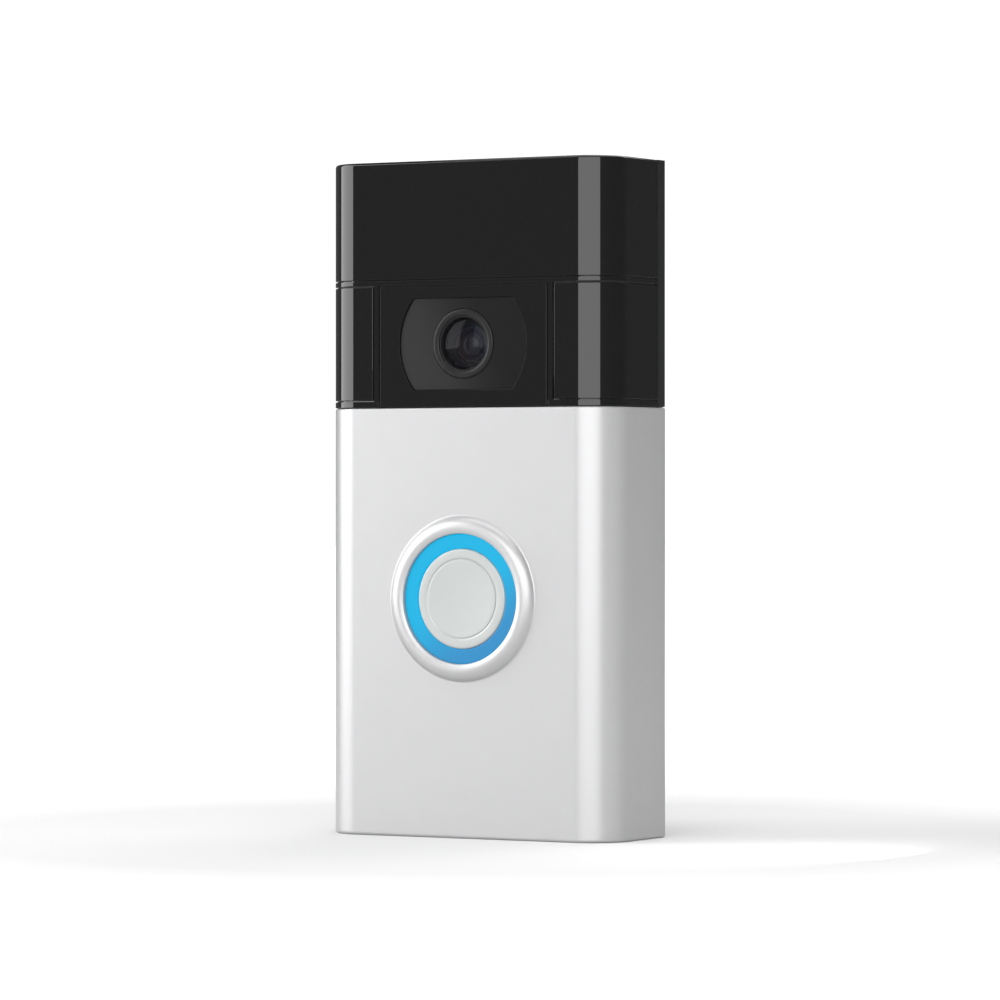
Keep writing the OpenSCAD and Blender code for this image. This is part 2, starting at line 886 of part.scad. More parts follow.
module housing_gasket() {
    color([0.75, 0.75, 0.72]) difference() {
        middle(body_w - 2 * frame_in, y_split, y_housing, frame_in, body_h - frame_in);
        middle(2 * room_x, y_split - 1, y_housing + 1, room_in, room_top);
    }
}

// Back of the doorbell, with its rim, the hook pockets and the openings for the controls.
module rear_housing() {
    lug_top = lug_z + lug_h + lug_gap;
    color([0.1, 0.1, 0.11]) difference() {
        union() {
            middle(body_w, y_rim, y_back, face_h + fit, body_h);
            middle(body_w - 2 * seam_deep, y_rim, y_back, face_h - seam / 2 + fit, face_h + 1);
            middle(body_w - 2 * frame_in, y_rear_in, y_back, frame_in, face_h + 1);
            difference() {
                middle(body_w - 2 * frame_in, y_housing, y_rear_in + fit, frame_in, body_h - frame_in);
                middle(2 * room_x, y_housing - 1, y_rear_in + 1, room_in, room_top);
            }
            for (z = hook_z) {
                both() span([hook_x - pocket_w / 2 - pocket_wall, y_back - pocket_d - 1.2,
                        z - hook_stem - lift - 0.5 - pocket_wall],
                    [room_x - slip, y_rear_in + fit, z + hook_up + 0.5 + pocket_wall]);
            }
            both() span([lug_x - lug_w / 2 - 1.6, y_back - lug_d - 1.3, room_in + slip],
                [lug_x + lug_w / 2 + 1.6, y_rear_in + fit, lug_top + 1]);
            for (z = screw_z) {
                both() rod(screw_x, z, boss_r, y_split + slip, y_rear_in + fit);
            }
        }
        for (z = hook_z) {
            both() hook_pocket(z);
        }
        both() span([lug_x - lug_w / 2 - lug_gap, y_back - lug_d - gap, room_in],
            [lug_x + lug_w / 2 + lug_gap, y_back + 1, lug_top]);
        both() post(lug_x, guard_y, guard_r + slip, 0, room_in + 1);
        for (z = screw_z) {
            both() rod(screw_x, z, screw_r + slip, y_split - 1, y_back + 1);
            both() rod(screw_x, z, screw_head_r + slip, y_back - 1.3, y_back + 1);
        }
        rod(setup_x, control_z, setup_d / 2 + slip, y_rim - 1, y_back + 1);
        middle(port_w + 2 * gap, y_rim - 1, y_back + 1,
            control_z - port_h / 2 - gap, control_z + port_h / 2 + gap);
        both() rod(terminal_x, terminal_z, terminal_r + gap, y_rim - 1, y_back + 1);
        both() rod(terminal_x, terminal_z, terminal_r + 1.1 + fit, y_rim - 1, y_back - 0.8);
    }
}

// Pocket for one hook: a mouth that the hook goes in by and a deeper room behind the ledge.
module hook_pocket(z) {
    x0 = hook_x - pocket_w / 2;
    x1 = hook_x + pocket_w / 2;
    low = z - hook_stem - lift - 0.5;
    span([x0, y_back - pocket_d, low], [x1, y_back + 1, z + fit]);
    span([x0, y_back - pocket_d, low], [x1, y_back - rear_t, z + hook_up + 0.5]);
}

module housing_screws() {
    seat = y_back - 1.3;
    color([0.6, 0.6, 0.62]) for (z = screw_z) {
        both() rear_screw(screw_x, z, screw_r, screw_head_r, y_split - screw_deep + 1, seat, y_back - gap);
    }
}

// ---- Rear controls ----

module port_board() {
    color([0.1, 0.35, 0.2])
        span([setup_x - 5, y_ports, control_z - 6], [port_w / 2 + 4, y_ports + board_t, control_z + 6]);
}

module usb_port() {
    t = 0.3;
    y0 = y_ports + board_t;
    y1 = y_back - gap;
    color([0.7, 0.71, 0.73]) {
        difference() {
            middle(port_w, y0, y1, control_z - port_h / 2, control_z + port_h / 2);
            middle(port_w - 2 * t, y0 + 0.6, y1 + 1, control_z - port_h / 2 + t, control_z + port_h / 2 - t);
        }
        middle(port_w - 2.6, y0 + 0.5, y1 - 1, control_z - 0.35, control_z + 0.35);
    }
}

module setup_switch() {
    y0 = y_ports + board_t;
    color([0.2, 0.2, 0.2]) span([setup_x - 3, y0, control_z - 3], [setup_x + 3, y_rim - 1.6, control_z + 3]);
}

// Setup button: a round cap in the housing's back, held in by a lip inside.
module setup_button() {
    color([0.95, 0.45, 0.1]) {
        rod(setup_x, control_z, setup_d / 2, y_rim - slip - fit, y_back - 0.5);
        rod(setup_x, control_z, setup_d / 2 + 0.6, y_rim - slip - 0.7, y_rim - slip);
    }
}

module terminal_nuts() {
    color([0.85, 0.7, 0.35]) both() difference() {
        rod(terminal_x, terminal_z, terminal_r + 1.1, y_rim - 1, y_back - 0.8 - fit);
        rod(terminal_x, terminal_z, terminal_r + slip, y_rim - 2, y_back);
    }
}

module terminal_screws() {
    seat = y_back + 0.8;
    color([0.7, 0.7, 0.7]) both()
        rear_screw(terminal_x, terminal_z, terminal_r, 2.9, y_rim - 1.5, seat, seat + 1.4);
}

// ---- Bracket ----

module mounting_bracket() {
    y0 = y_back + gap;
    top = body_h - bracket_drop;
    bracket_w = body_w - 2 * bracket_in;
    rim_t = 1.6;
    color([0.13, 0.13, 0.14]) difference() {
        union() {
            difference() {
                rounded(bracket_w, bracket_r, y0, y_wall, 0, top);
                rounded(bracket_w - 2 * rim_t, bracket_r - rim_t, y0 - 1, y_plate, rim_t, top - rim_t);
            }
            for (z = hook_z) {
                both() hook(z);
            }
            both() span([lug_x - lug_w / 2, y_back - lug_d, lug_z],
                [lug_x + lug_w / 2, y_plate + fit, lug_z + lug_h]);
        }
        both() post(lug_x, guard_y, guard_r + slip / 2, lug_z - 1, lug_z + lug_h + 1);
        for (z = [-1, 1]) {
            both() rod(wall_hole_w / 2, top / 2 + z * wall_hole_h / 2, wall_hole_d / 2,
                y_plate - 1, y_wall + 1);
        }
        middle(wire_gap_w, y_plate - 1, y_wall + 1,
            terminal_z - 1 - wire_gap_h / 2, terminal_z - 1 + wire_gap_h / 2);
    }
}

// Hook on the plate: a stem towards the doorbell and a lip that stands up.
module hook(z) {
    span([hook_x - hook_w / 2, y_hook, z - hook_stem], [hook_x + hook_w / 2, y_plate + fit, z]);
    span([hook_x - hook_w / 2, y_hook, z - hook_stem],
        [hook_x + hook_w / 2, y_hook + hook_t, z + hook_up]);
}

// Screws up through the faceplate's bottom into the bracket's lugs.
module security_screws() {
    head_top = guard_low + guard_head_t;
    color([0.6, 0.6, 0.62]) both() difference() {
        union() {
            post(lug_x, guard_y, guard_r, head_top - fit, lug_z + lug_h - 0.4);
            post(lug_x, guard_y, guard_head_r, guard_low, head_top - fit);
        }
        translate([lug_x, guard_y, 0]) cylinder(r = 0.9, h = 0.7, $fn = 6);
    }
}

faceplate();
top_cover();
side_cover_left();
side_cover_right();
camera_panel();
camera_window();
lens_bezel();
front_lens();
lens_barrel();
inner_lenses();
lens_holder();
filter_carrier();
filter_glasses();
filter_rotor();
filter_motor();
image_sensor();
sensor_board();
infrared_board();
infrared_leds();
motion_lens();
motion_holder();
motion_sensors();
motion_board();
halo_light_guide();
light_box();
halo_board();
halo_leds();
button_cap();
button_switch();
switch_plunger();
button_return_pad();
front_frame();
main_board();
board_connector();
shield_can();
radio_module();
antenna();
camera_ribbon();
battery();
battery_pad();
battery_plug();
battery_leads();
speaker_basket();
speaker_magnet();
speaker_diaphragm();
speaker_gasket();
speaker_mesh();
microphone();
mic_boot();
housing_gasket();
rear_housing();
housing_screws();
port_board();
usb_port();
setup_switch();
setup_button();
terminal_nuts();
terminal_screws();
mounting_bracket();
security_screws();
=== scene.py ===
"""Battery video doorbell: its visible pieces, their finishes and a plain studio, built round the CAD frame.

Lengths are in metres. X runs to the right seen from the front, Y towards the wall and Z up.
"""
import json
import math

import bmesh
import bpy
import numpy as np
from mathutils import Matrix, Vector
from mathutils.geometry import delaunay_2d_cdt


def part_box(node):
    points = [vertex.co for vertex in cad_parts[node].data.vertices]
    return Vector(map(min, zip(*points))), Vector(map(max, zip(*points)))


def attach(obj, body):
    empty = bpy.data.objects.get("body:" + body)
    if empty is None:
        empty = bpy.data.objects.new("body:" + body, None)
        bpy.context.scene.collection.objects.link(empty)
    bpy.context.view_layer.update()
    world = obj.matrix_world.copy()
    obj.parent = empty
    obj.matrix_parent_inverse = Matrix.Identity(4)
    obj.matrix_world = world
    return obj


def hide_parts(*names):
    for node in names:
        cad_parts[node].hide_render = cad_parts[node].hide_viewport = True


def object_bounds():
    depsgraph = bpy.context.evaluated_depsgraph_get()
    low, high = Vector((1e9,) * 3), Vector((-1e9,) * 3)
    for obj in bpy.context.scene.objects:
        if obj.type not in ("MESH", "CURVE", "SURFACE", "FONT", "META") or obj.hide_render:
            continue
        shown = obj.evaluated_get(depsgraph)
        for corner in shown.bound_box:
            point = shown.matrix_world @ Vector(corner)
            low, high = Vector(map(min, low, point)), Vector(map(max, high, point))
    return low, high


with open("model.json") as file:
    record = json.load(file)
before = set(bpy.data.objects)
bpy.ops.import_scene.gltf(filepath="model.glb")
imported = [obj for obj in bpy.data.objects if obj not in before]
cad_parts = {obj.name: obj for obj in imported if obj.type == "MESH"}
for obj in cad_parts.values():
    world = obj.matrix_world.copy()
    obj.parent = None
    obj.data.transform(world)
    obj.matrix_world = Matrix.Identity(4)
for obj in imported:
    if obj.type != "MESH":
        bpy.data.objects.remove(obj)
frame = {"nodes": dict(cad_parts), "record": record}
CAD_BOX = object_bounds()

bl_info = {
    "name": "Video Doorbell",
    "version": (1, 0, 0),
    "blender": (4, 5, 0),
    "location": "3D View > Sidebar > Doorbell",
    "description": "Builds the covers, lens, halo, button and finishes of a battery video doorbell",
    "category": "Object",
}

MM = 0.001
BODY = "doorbell"

# ---- Places that the frame gives ----

PANEL_LOW, PANEL_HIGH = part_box("camera_panel")
FACE_LOW, FACE_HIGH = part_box("faceplate")
TOP_LOW, TOP_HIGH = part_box("top_cover")
SIDE_LOW, SIDE_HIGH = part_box("side_cover_right")
WINDOW_LOW, WINDOW_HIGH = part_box("camera_window")
BEZEL_LOW, BEZEL_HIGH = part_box("lens_bezel")
LENS_LOW, LENS_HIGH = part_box("front_lens")
INNER_LOW, INNER_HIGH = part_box("inner_lenses")
HALO_LOW, HALO_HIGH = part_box("halo_light_guide")
CAP_LOW, CAP_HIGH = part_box("button_cap")
MESH_LOW, MESH_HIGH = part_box("speaker_mesh")
MIC_LOW, MIC_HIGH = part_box("mic_boot")

FRONT_Y = PANEL_LOW.y
COVER_IN_Y = PANEL_HIGH.y
WALL = COVER_IN_Y - FRONT_Y
HALF_W = TOP_HIGH.x
BUTTON_Z = (CAP_LOW.z + CAP_HIGH.z) / 2
LENS_Z = (BEZEL_LOW.z + BEZEL_HIGH.z) / 2


# ---- Sizes and colours that a user would change ----

def length(name, description, millimetres):
    """A length property whose default is given in millimetres."""
    return bpy.props.FloatProperty(name=name, description=description, default=millimetres * MM,
                                   min=0.0, unit="LENGTH", subtype="DISTANCE", precision=5)


def colour(name, description, value):
    """A colour property."""
    return bpy.props.FloatVectorProperty(name=name, description=description, default=value,
                                         size=3, min=0.0, max=1.0, subtype="COLOR")


class DoorbellSizes(bpy.types.PropertyGroup):
    corner: length("Corner radius", "Radius of the upright front corners", 7.3)
    end_round: length("End rounding", "Radius of the outer edge round the top and the bottom", 0.6)
    edge: length("Edge rounding", "Radius along the seams between the covers", 0.07)
    lip: length("Upper edge", "Radius along the upper edge of the silver cover", 0.3)
    seam: length("Seam", "Width of the seams beside the strips", 0.25)
    rim_r: length("Rim radius", "Outer radius of the raised rim round the button", 15.45)
    rim_reach: length("Rim crest", "Distance of the rim's crest from its outer edge", 2.2)
    rim_fillet: length("Rim fillet", "Radius of the hollow between the rim and the front", 0.45)
    halo_gap: length("Halo gap", "Clearance between the halo and the rim", 0.05)
    halo_foot: length("Halo foot", "Width of the halo's foot behind the cover", 1.1)
    cap_lip: length("Cap lip", "Width of the lip that keeps the cap in", 0.9)
    cap_wall: length("Cap wall", "Thickness of the cap's skirt", 1.2)
    groove_in: length("Groove inset", "Distance of the fine groove from the cap's edge", 1.87)
    groove_w: length("Groove width", "Width of the fine groove in the cap", 0.32)
    dish: length("Dish depth", "Depth of the cap's shallow dish", 0.15)
    window_r: length("Window radius", "Radius of the window's round ends", 13.7)
    window_h: length("Window half height", "Half of the window's height", 8.6)
    lens_rho: length("Lens curve", "Radius of the front lens's dome", 14.0)
    guard_x: length("Guard screw place", "Distance of the guard screws from the middle", 14.0)
    guard_back: length("Guard screw depth", "Distance of the guard screws from the back", 3.2)


class DoorbellColours(bpy.types.PropertyGroup):
    silver: colour("Silver", "Satin lacquer of the lower cover", (0.4, 0.4, 0.405))
    cap: colour("Cap", "Satin lacquer of the push button", (0.355, 0.37, 0.365))
    black: colour("Gloss black", "Polished black of the upper covers", (0.004, 0.004, 0.0045))
    satin: colour("Satin black", "Moulded black of the housing and the bracket", (0.01, 0.01, 0.0108))
    window: colour("Window", "Smoked insert round the lens", (0.012, 0.012, 0.0125))
    # The two lens glass colours are a painted reflection of the coating: brown at the left, deep blue at the
    # right.
    glass_reflection_left: colour("Lens glass, left", "Coating of the inner lenses, left", (0.024, 0.016, 0.015))
    glass_reflection_right: colour("Lens glass, right", "Coating of the inner lenses, right", (0.011, 0.015, 0.026))
    # The halo's two light colours hold painted shade: paler where the studio light falls at the upper left,
    # deeper at the lower right.
    halo_glow_lit: colour("Halo, upper left", "Light of the halo at the upper left", (0.005, 0.45, 0.765))
    halo_glow_shaded: colour("Halo, lower right", "Light of the halo at the lower right", (0.035, 0.27, 0.56))


# ---- Building surfaces ----

def circle(radius, count, centre=(0.0, 0.0)):
    """Closed loop of points: centre plus radius times (cos t, sin t), t running evenly round."""
    t = np.linspace(0.0, 2.0 * np.pi, count, endpoint=False)
    return np.column_stack((centre[0] + radius * np.cos(t), centre[1] + radius * np.sin(t)))


def arc(centre, radius, start, end, steps):
    """Points centre plus radius times (cos t, sin t), t running evenly from start to end in degrees."""
    t = np.radians(np.linspace(start, end, steps + 1))
    return np.column_stack((centre[0] + radius * np.cos(t), centre[1] + radius * np.sin(t)))


def rounded(corners, radii, inset=0.0, steps=6, closed=True):
    """Polygon drawn in by inset, each corner replaced by the arc that touches both of its sides.

    With n1 and n2 the left normals of the two sides, the corner moves by inset (n1 + n2) / (1 + n1 n2),
    and the arc's centre lies on the same line, one radius further in. A radius of 0 keeps one point.
    """
    points = np.asarray(corners, float)
    count = len(points)
    loops = []
    for i in range(count):
        before, here, after = points[i - 1], points[i], points[(i + 1) % count]
        ends = not closed and i in (0, count - 1)
        one = after - here if ends and i == 0 else here - before
        two = one if ends else after - here
        one, two = one / np.linalg.norm(one), two / np.linalg.norm(two)
        n1, n2 = np.array((-one[1], one[0])), np.array((-two[1], two[0]))
        line = (n1 + n2) / (1.0 + n1 @ n2)
        corner = here + inset * line
        if ends or radii[i] == 0.0:
            loops.append(corner[None, :])
            continue
        turn = np.sign(one[0] * two[1] - one[1] * two[0])
        radius = radii[i] - turn * inset
        start = math.degrees(math.atan2(-turn * n1[1], -turn * n1[0]))
        sweep = turn * math.degrees(math.acos(np.clip(one @ two, -1.0, 1.0)))
        loops.append(arc(corner + turn * radius * line, radius, start, start + sweep, steps))
    return np.concatenate(loops)


def inside(points, loops):
    """True for points inside an odd number of loops, counted by the edges that a ray to the right crosses."""
    odd = np.zeros(len(points), bool)
    for loop in loops:
        a, b = loop, np.roll(loop, -1, axis=0)
        x, y = points[:, 0, None], points[:, 1, None]
        spans = (a[:, 1] > y) != (b[:, 1] > y)
        rise = np.where(b[:, 1] == a[:, 1], 1.0, b[:, 1] - a[:, 1])
        crosses = spans & (x < a[:, 0] + (y - a[:, 1]) * (b[:, 0] - a[:, 0]) / rise)
        odd ^= (crosses.sum(axis=1) % 2).astype(bool)
    return odd


class Surface:
    """Points and faces of one piece, gathered patch by patch, each patch as whole arrays."""

    def __init__(self):
        self.points = []
        self.faces = []
        self.count = 0

    def rows(self, grid, closed=True, faces=True):
        """Adds a grid of points, row by row, with a quad between each four neighbours."""
        m, n = grid.shape[:2]
        index = np.arange(self.count, self.count + m * n).reshape(m, n)
        self.points.append(grid.reshape(-1, 3))
        self.count += m * n
        if faces:
            self.quads(index, closed)
        return index

    def quads(self, index, closed=True, skip=None):
        """Quads between the rows of an index grid; closed joins the last column to the first."""
        wide = np.column_stack((index, index[:, 0])) if closed else index
        quads = np.stack((wide[:-1, :-1], wide[:-1, 1:], wide[1:, 1:], wide[1:, :-1]), axis=-1)
        keep = np.ones(quads.shape[:2], bool)
        if skip is not None:
            keep[skip] = False
        self.faces.extend(quads[keep].tolist())

    def plate(self, loops, axes):
        """Flat plate inside the first loop and outside the others, on points that are there already."""
        points = np.concatenate(self.points)
        flat = [points[loop][:, axes] / MM for loop in loops]
        every = np.concatenate(flat)
        index = np.concatenate(loops)
        starts = np.cumsum([0] + [len(loop) for loop in loops])
        edges = []
        for start, end in zip(starts, starts[1:]):
            ring = np.arange(start, end)
            edges.extend(np.column_stack((ring, np.roll(ring, -1))).tolist())
        made = delaunay_2d_cdt([Vector(p) for p in every.tolist()], edges, [], 0, 1e-7)
        source = [ids[0] for ids in made[3]]
        faces = np.array([[source[v] for v in f] for f in made[2]])
        faces = faces[inside(every[faces].mean(axis=1), flat)]
        self.faces.extend(index[faces].tolist())

    def pole(self, row, point):
        """Closes a round row with one point in its middle."""
        self.points.append(np.asarray(point, float)[None, :])
        after = np.roll(row, -1)
        self.faces.extend([[int(a), int(b), self.count] for a, b in zip(row, after)])
        self.count += 1

    def open_edges(self):
        """Edges that only one face uses, as pairs of point numbers."""
        pairs = np.array([(a, b) for f in self.faces for a, b in zip(f, f[1:] + f[:1])])
        keys = np.sort(pairs, axis=1)
        _, first, times = np.unique(keys, axis=0, return_index=True, return_counts=True)
        return pairs[first[times == 1]]


def lined(outer, inner):
    """One closed shell: two sheets with the same point numbers, and the strip between their edges."""
    shell = Surface()
    shell.points = outer.points + inner.points
    shell.count = outer.count + inner.count
    shift = outer.count
    strip = [[int(b), int(a), int(a) + shift, int(b) + shift] for a, b in outer.open_edges()]
    shell.faces = outer.faces + [[v + shift for v in f] for f in inner.faces] + strip
    return shell


def piece(name, surface, material, node=None, body=BODY, sharp=35.0):
    """Mesh object from a surface: doubles merged, faces turned outwards, shaded smooth up to the sharp angle.

    It rides on the body, and stands for the frame's node if one is named.
    """
    mesh = bpy.data.meshes.new(name)
    mesh.from_pydata(np.concatenate(surface.points).tolist(), [], surface.faces)
    work = bmesh.new()
    work.from_mesh(mesh)
    bmesh.ops.remove_doubles(work, verts=work.verts, dist=1e-7)
    bmesh.ops.dissolve_degenerate(work, edges=work.edges, dist=1e-8)
    loose = [v for v in work.verts if not v.link_faces]
    bmesh.ops.delete(work, geom=loose, context="VERTS")
    bmesh.ops.recalc_face_normals(work, faces=work.faces)
    open_edges = sum(1 for e in work.edges if not e.is_manifold)
    work.to_mesh(mesh)
    work.free()
    if open_edges:
        raise RuntimeError(f"{name} isn't closed: {open_edges} edges")
    mesh.shade_smooth()
    mesh.set_sharp_from_angle(angle=math.radians(sharp))
    obj = bpy.data.objects.new(name, mesh)
    bpy.context.scene.collection.objects.link(obj)
    mesh.materials.append(material)
    weigh_normals(obj)
    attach(obj, body)
    if node:
        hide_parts(node)


def round_edges(obj, width, angle):
    """Bevel along the edges that are sharper than the angle in degrees."""
    bevel = obj.modifiers.new("Rounded edges", "BEVEL")
    bevel.width = width
    bevel.segments = 3
    bevel.limit_method = "ANGLE"
    bevel.angle_limit = math.radians(angle)


def weigh_normals(obj):
    """Normals weighed by face area, so that flats stay flat beside their rounded edges."""
    weighted = obj.modifiers.new("Weighted normals", "WEIGHTED_NORMAL")
    weighted.keep_sharp = True
    weighted.weight = 80


def rim_rows(low, high, edge, into, steps=4):
    """Rows (grow, level) of a wall from low to high whose two ends are rounded towards the material.

    A quarter circle of radius edge at each end: grow is into times edge (1 - sin t), and the level leaves
    the end by edge (1 - cos t), t from 0 to 90 degrees.
    """
    t = np.radians(np.linspace(0.0, 90.0, steps + 1))
    grow = into * edge * (1.0 - np.sin(t))
    up = low + edge * (1.0 - np.cos(t))
    down = high - edge * (1.0 - np.cos(t))
    return np.column_stack((np.concatenate((grow, grow[::-1])), np.concatenate((up, down[::-1]))))


def along_y(flat, level):
    """Points (x, z) at the depth level."""
    return np.column_stack((flat[:, 0], np.full(len(flat), level), flat[:, 1]))


def along_z(flat, level):
    """Points (x, y) at the height level."""
    return np.column_stack((flat[:, 0], flat[:, 1], np.full(len(flat), level)))


def solid(surface, loops, place, axes):
    """Plate with holes and flat ends; each loop is (shape, rows), and a row is shape(grow) at its level."""
    rings = []
    for shape, rows in loops:
        grid = np.stack([place(shape(grow), level) for grow, level in rows])
        rings.append(surface.rows(grid))
    surface.plate([ring[0] for ring in rings], axes)
    surface.plate([ring[-1] for ring in rings], axes)
    return surface


def ring_grid(profile, centre_z, count=192):
    """Rows of points turned about the line along Y at that height: (r cos t, y, z + r sin t)."""
    t = np.linspace(0.0, 2.0 * np.pi, count, endpoint=False)
    r, y = profile[:, 0, None], profile[:, 1, None]
    return np.stack((r * np.cos(t), y + 0.0 * t, centre_z + r * np.sin(t)), axis=-1)


def turned(surface, profile, centre_z, count=160, closed=True):
    """Profile of (radius, depth) points turned all round; an open one has its ends on the axis, as poles."""
    profile = np.asarray(profile, float)
    index = surface.rows(ring_grid(profile if closed else profile[1:-1], centre_z, count))
    if closed:
        surface.quads(np.stack((index[-1], index[0])))
    else:
        surface.pole(index[0], (0.0, profile[0, 1], centre_z))
        surface.pole(index[-1], (0.0, profile[-1, 1], centre_z))
    return surface


# ---- Covers ----

def cover_path(sizes, back, inset):
    """Open path round the front: back left, the two corners' arcs, back right, drawn in by inset."""
    corners = [(-HALF_W, back), (-HALF_W, FRONT_Y), (HALF_W, FRONT_Y), (HALF_W, back)]
    return rounded(corners, [0.0, sizes.corner, sizes.corner, 0.0], inset, steps=28, closed=False)


def cover_sheet(sizes, back, opened, ended, lip, outside, holes=(), opening=None):
    """One sheet of a cover that is open at the back and at one end.

    Its wall is the path carried over rows of (inset, height): a round of radius lip at the open end, the
    upright stretch, and the quarter circle into the flat end. Opening gives the loops of a hole in front.
    """
    into = 1.0 if outside else -1.0
    inset = 0.0 if outside else WALL
    level = ended if outside else ended + math.copysign(WALL, opened - ended)
    up = math.copysign(1.0, opened - level)
    t = np.radians(np.linspace(0.0, 90.0, 5))
    start = np.column_stack((inset + into * lip * (1.0 - np.sin(t)), opened - up * lip * (1.0 - np.cos(t))))
    end = np.column_stack((inset + sizes.end_round * (1.0 - np.cos(t)),
                           level + up * sizes.end_round * (1.0 - np.sin(t))))
    rows = np.concatenate((start, end))
    sheet = Surface()
    grid = np.stack([along_z(cover_path(sizes, back, a), z) for a, z in rows])
    index = sheet.rows(grid, closed=False, faces=False)
    front = index.shape[1] // 2 - 1
    tall = len(start) - 1
    sheet.quads(index, closed=False, skip=(tall, front) if opening is not None else None)
    if opening is not None:
        rings = sheet.rows(opening)
        frame_loop = np.array([index[tall, front], index[tall, front + 1],
                               index[tall + 1, front + 1], index[tall + 1, front]])
        sheet.plate([frame_loop, rings[0]], (0, 2))
    loops = [index[-1]]
    for shape, rows_out, rows_in in holes:
        hole = rows_out if outside else rows_in
        loops.append(sheet.rows(np.stack([along_z(shape(a), z) for a, z in hole]))[0])
    sheet.plate(loops, (0, 1))
    return sheet


def rim_profile(sizes, outside):
    """Profile (radius, depth) of the raised rim: a fillet off the flat, the round bead, and the hole's wall.

    The bead is a circle through the rim's outer edge whose crest is rim_reach inside it, and the fillet is
    the circle of radius rim_fillet that touches both the front and the bead.
    """
    crest = FRONT_Y - FACE_LOW.y
    rho = (sizes.rim_reach ** 2 + crest ** 2) / (2.0 * crest)
    bead = np.array((sizes.rim_r - sizes.rim_reach, FACE_LOW.y + rho))
    hole = HALO_HIGH.x - sizes.halo_foot + sizes.halo_gap
    fillet_y = FRONT_Y - sizes.rim_fillet
    reach = math.sqrt((rho + sizes.rim_fillet) ** 2 - (fillet_y - bead[1]) ** 2)
    fillet = np.array((bead[0] + reach, fillet_y))
    tilt = math.degrees(math.atan2(fillet_y - bead[1], reach))
    soft = sizes.lip
    inner_tilt = -180.0 + math.degrees(math.acos((bead[0] - hole - soft) / rho))
    blend = arc(fillet, sizes.rim_fillet, 90.0, 180.0 + tilt, 10)
    dome = arc(bead, rho, tilt, inner_tilt, 26)
    turn = arc((hole + soft, dome[-1, 1] + soft), soft, 245.0, 180.0, 6)
    profile = np.concatenate((blend, dome[1:], turn, [(hole, COVER_IN_Y - 0.3 * WALL)]))
    if outside:
        return profile
    radius = np.linspace(profile[0, 0], hole, len(profile))
    return np.column_stack((radius, np.full(len(profile), COVER_IN_Y)))


def slot_shape(x, y, half, radius, steps=10):
    """Shape function of a slot along X with round ends, grown by its argument."""
    def shape(grow):
        r = radius + grow
        return np.concatenate((arc((x + half, y), r, -90, 90, steps), arc((x - half, y), r, 90, 270, steps)))
    return shape


def round_shape(x, y, radius, count=40):
    """Shape function of a round hole, grown by its argument."""
    return lambda grow: circle(radius + grow, count, (x, y))


def bottom_holes(sizes):
    """Sound slots, microphone hole and the guard screws' seats, each as (shape, outer rows, inner rows)."""
    edge, floor = 0.5 * sizes.edge, WALL
    plain_out = [(edge, 0.0), (0.3 * edge, 0.3 * edge), (0.0, edge), (0.0, 0.7 * floor)]
    plain_in = [(edge, floor), (0.6 * edge, floor), (0.3 * edge, floor), (0.0, floor)]
    sound_y = (MESH_LOW.y + MESH_HIGH.y) / 2
    slot_count, slot_pitch, slot_half, slot_r = 4, 2.2 * MM, 5.4 * MM, 0.6 * MM
    holes = []
    for n in range(slot_count):
        y = sound_y + (n - (slot_count - 1) / 2) * slot_pitch
        holes.append((slot_shape(0.0, y, slot_half, slot_r), plain_out, plain_in))
    mic_x = (MIC_LOW.x + MIC_HIGH.x) / 2
    holes.append((round_shape(mic_x, sound_y, slot_r), plain_out, plain_in))
    seat_r, bore_r, seat_h = 2.5 * MM, 1.3 * MM, 1.1 * MM
    step = seat_r - bore_r
    seat_out = [(step + edge, 0.0), (step, edge), (step, seat_h), (0.0, seat_h), (0.0, 0.85 * floor)]
    seat_in = [(step, floor), (0.8 * step, floor), (0.5 * step, floor), (0.2 * step, floor), (0.0, floor)]
    for side in (-1.0, 1.0):
        centre = (side * sizes.guard_x, FACE_HIGH.y - sizes.guard_back)
        holes.append((round_shape(*centre, bore_r), seat_out, seat_in))
    return holes


def make_faceplate(sizes, colours):
    """Silver lower cover with the raised rim, the sound slots and the screw seats."""
    holes = bottom_holes(sizes)
    sheets = [cover_sheet(sizes, FACE_HIGH.y, FACE_HIGH.z, 0.0, sizes.lip, outside, holes,
                          ring_grid(rim_profile(sizes, outside), BUTTON_Z)) for outside in (True, False)]
    piece("silver_faceplate", lined(*sheets), silver_lacquer(colours), "faceplate")


def make_top_cover(sizes, colours):
    """Gloss black cover of the motion section, closed at the top."""
    sheets = [cover_sheet(sizes, TOP_HIGH.y, TOP_LOW.z, TOP_HIGH.z, sizes.edge, outside)
              for outside in (True, False)]
    piece("gloss_top_cover", lined(*sheets), gloss_black(colours), "top_cover")


def corner_shape(sizes, inner, back, thick, side):
    """Shape function of one corner's wall, from inner round the corner to the back, seen from above."""
    small = min(2.0 * sizes.edge, 0.4 * thick)
    corners = [(inner, FRONT_Y), (HALF_W, FRONT_Y), (HALF_W, back),
               (HALF_W - thick, back), (HALF_W - thick, FRONT_Y + thick), (inner, FRONT_Y + thick)]
    radii = [small, sizes.corner, small, small, sizes.corner - thick, small]

    def shape(grow):
        return rounded(corners, radii, -grow, steps=20) * (side, 1.0)
    return shape


def round_front_shape(sizes, back, thick):
    """Shape function of the wall all round the front, seen from above."""
    small, inner = min(2.0 * sizes.edge, 0.4 * thick), HALF_W - thick
    corners = [(-HALF_W, back), (-HALF_W, FRONT_Y), (HALF_W, FRONT_Y), (HALF_W, back),
               (inner, back), (inner, FRONT_Y + thick), (-inner, FRONT_Y + thick), (-inner, back)]
    bend = sizes.corner - thick
    radii = [small, sizes.corner, sizes.corner, small, small, bend, bend, small]

    def shape(grow):
        return rounded(corners, radii, -grow, steps=20)
    return shape


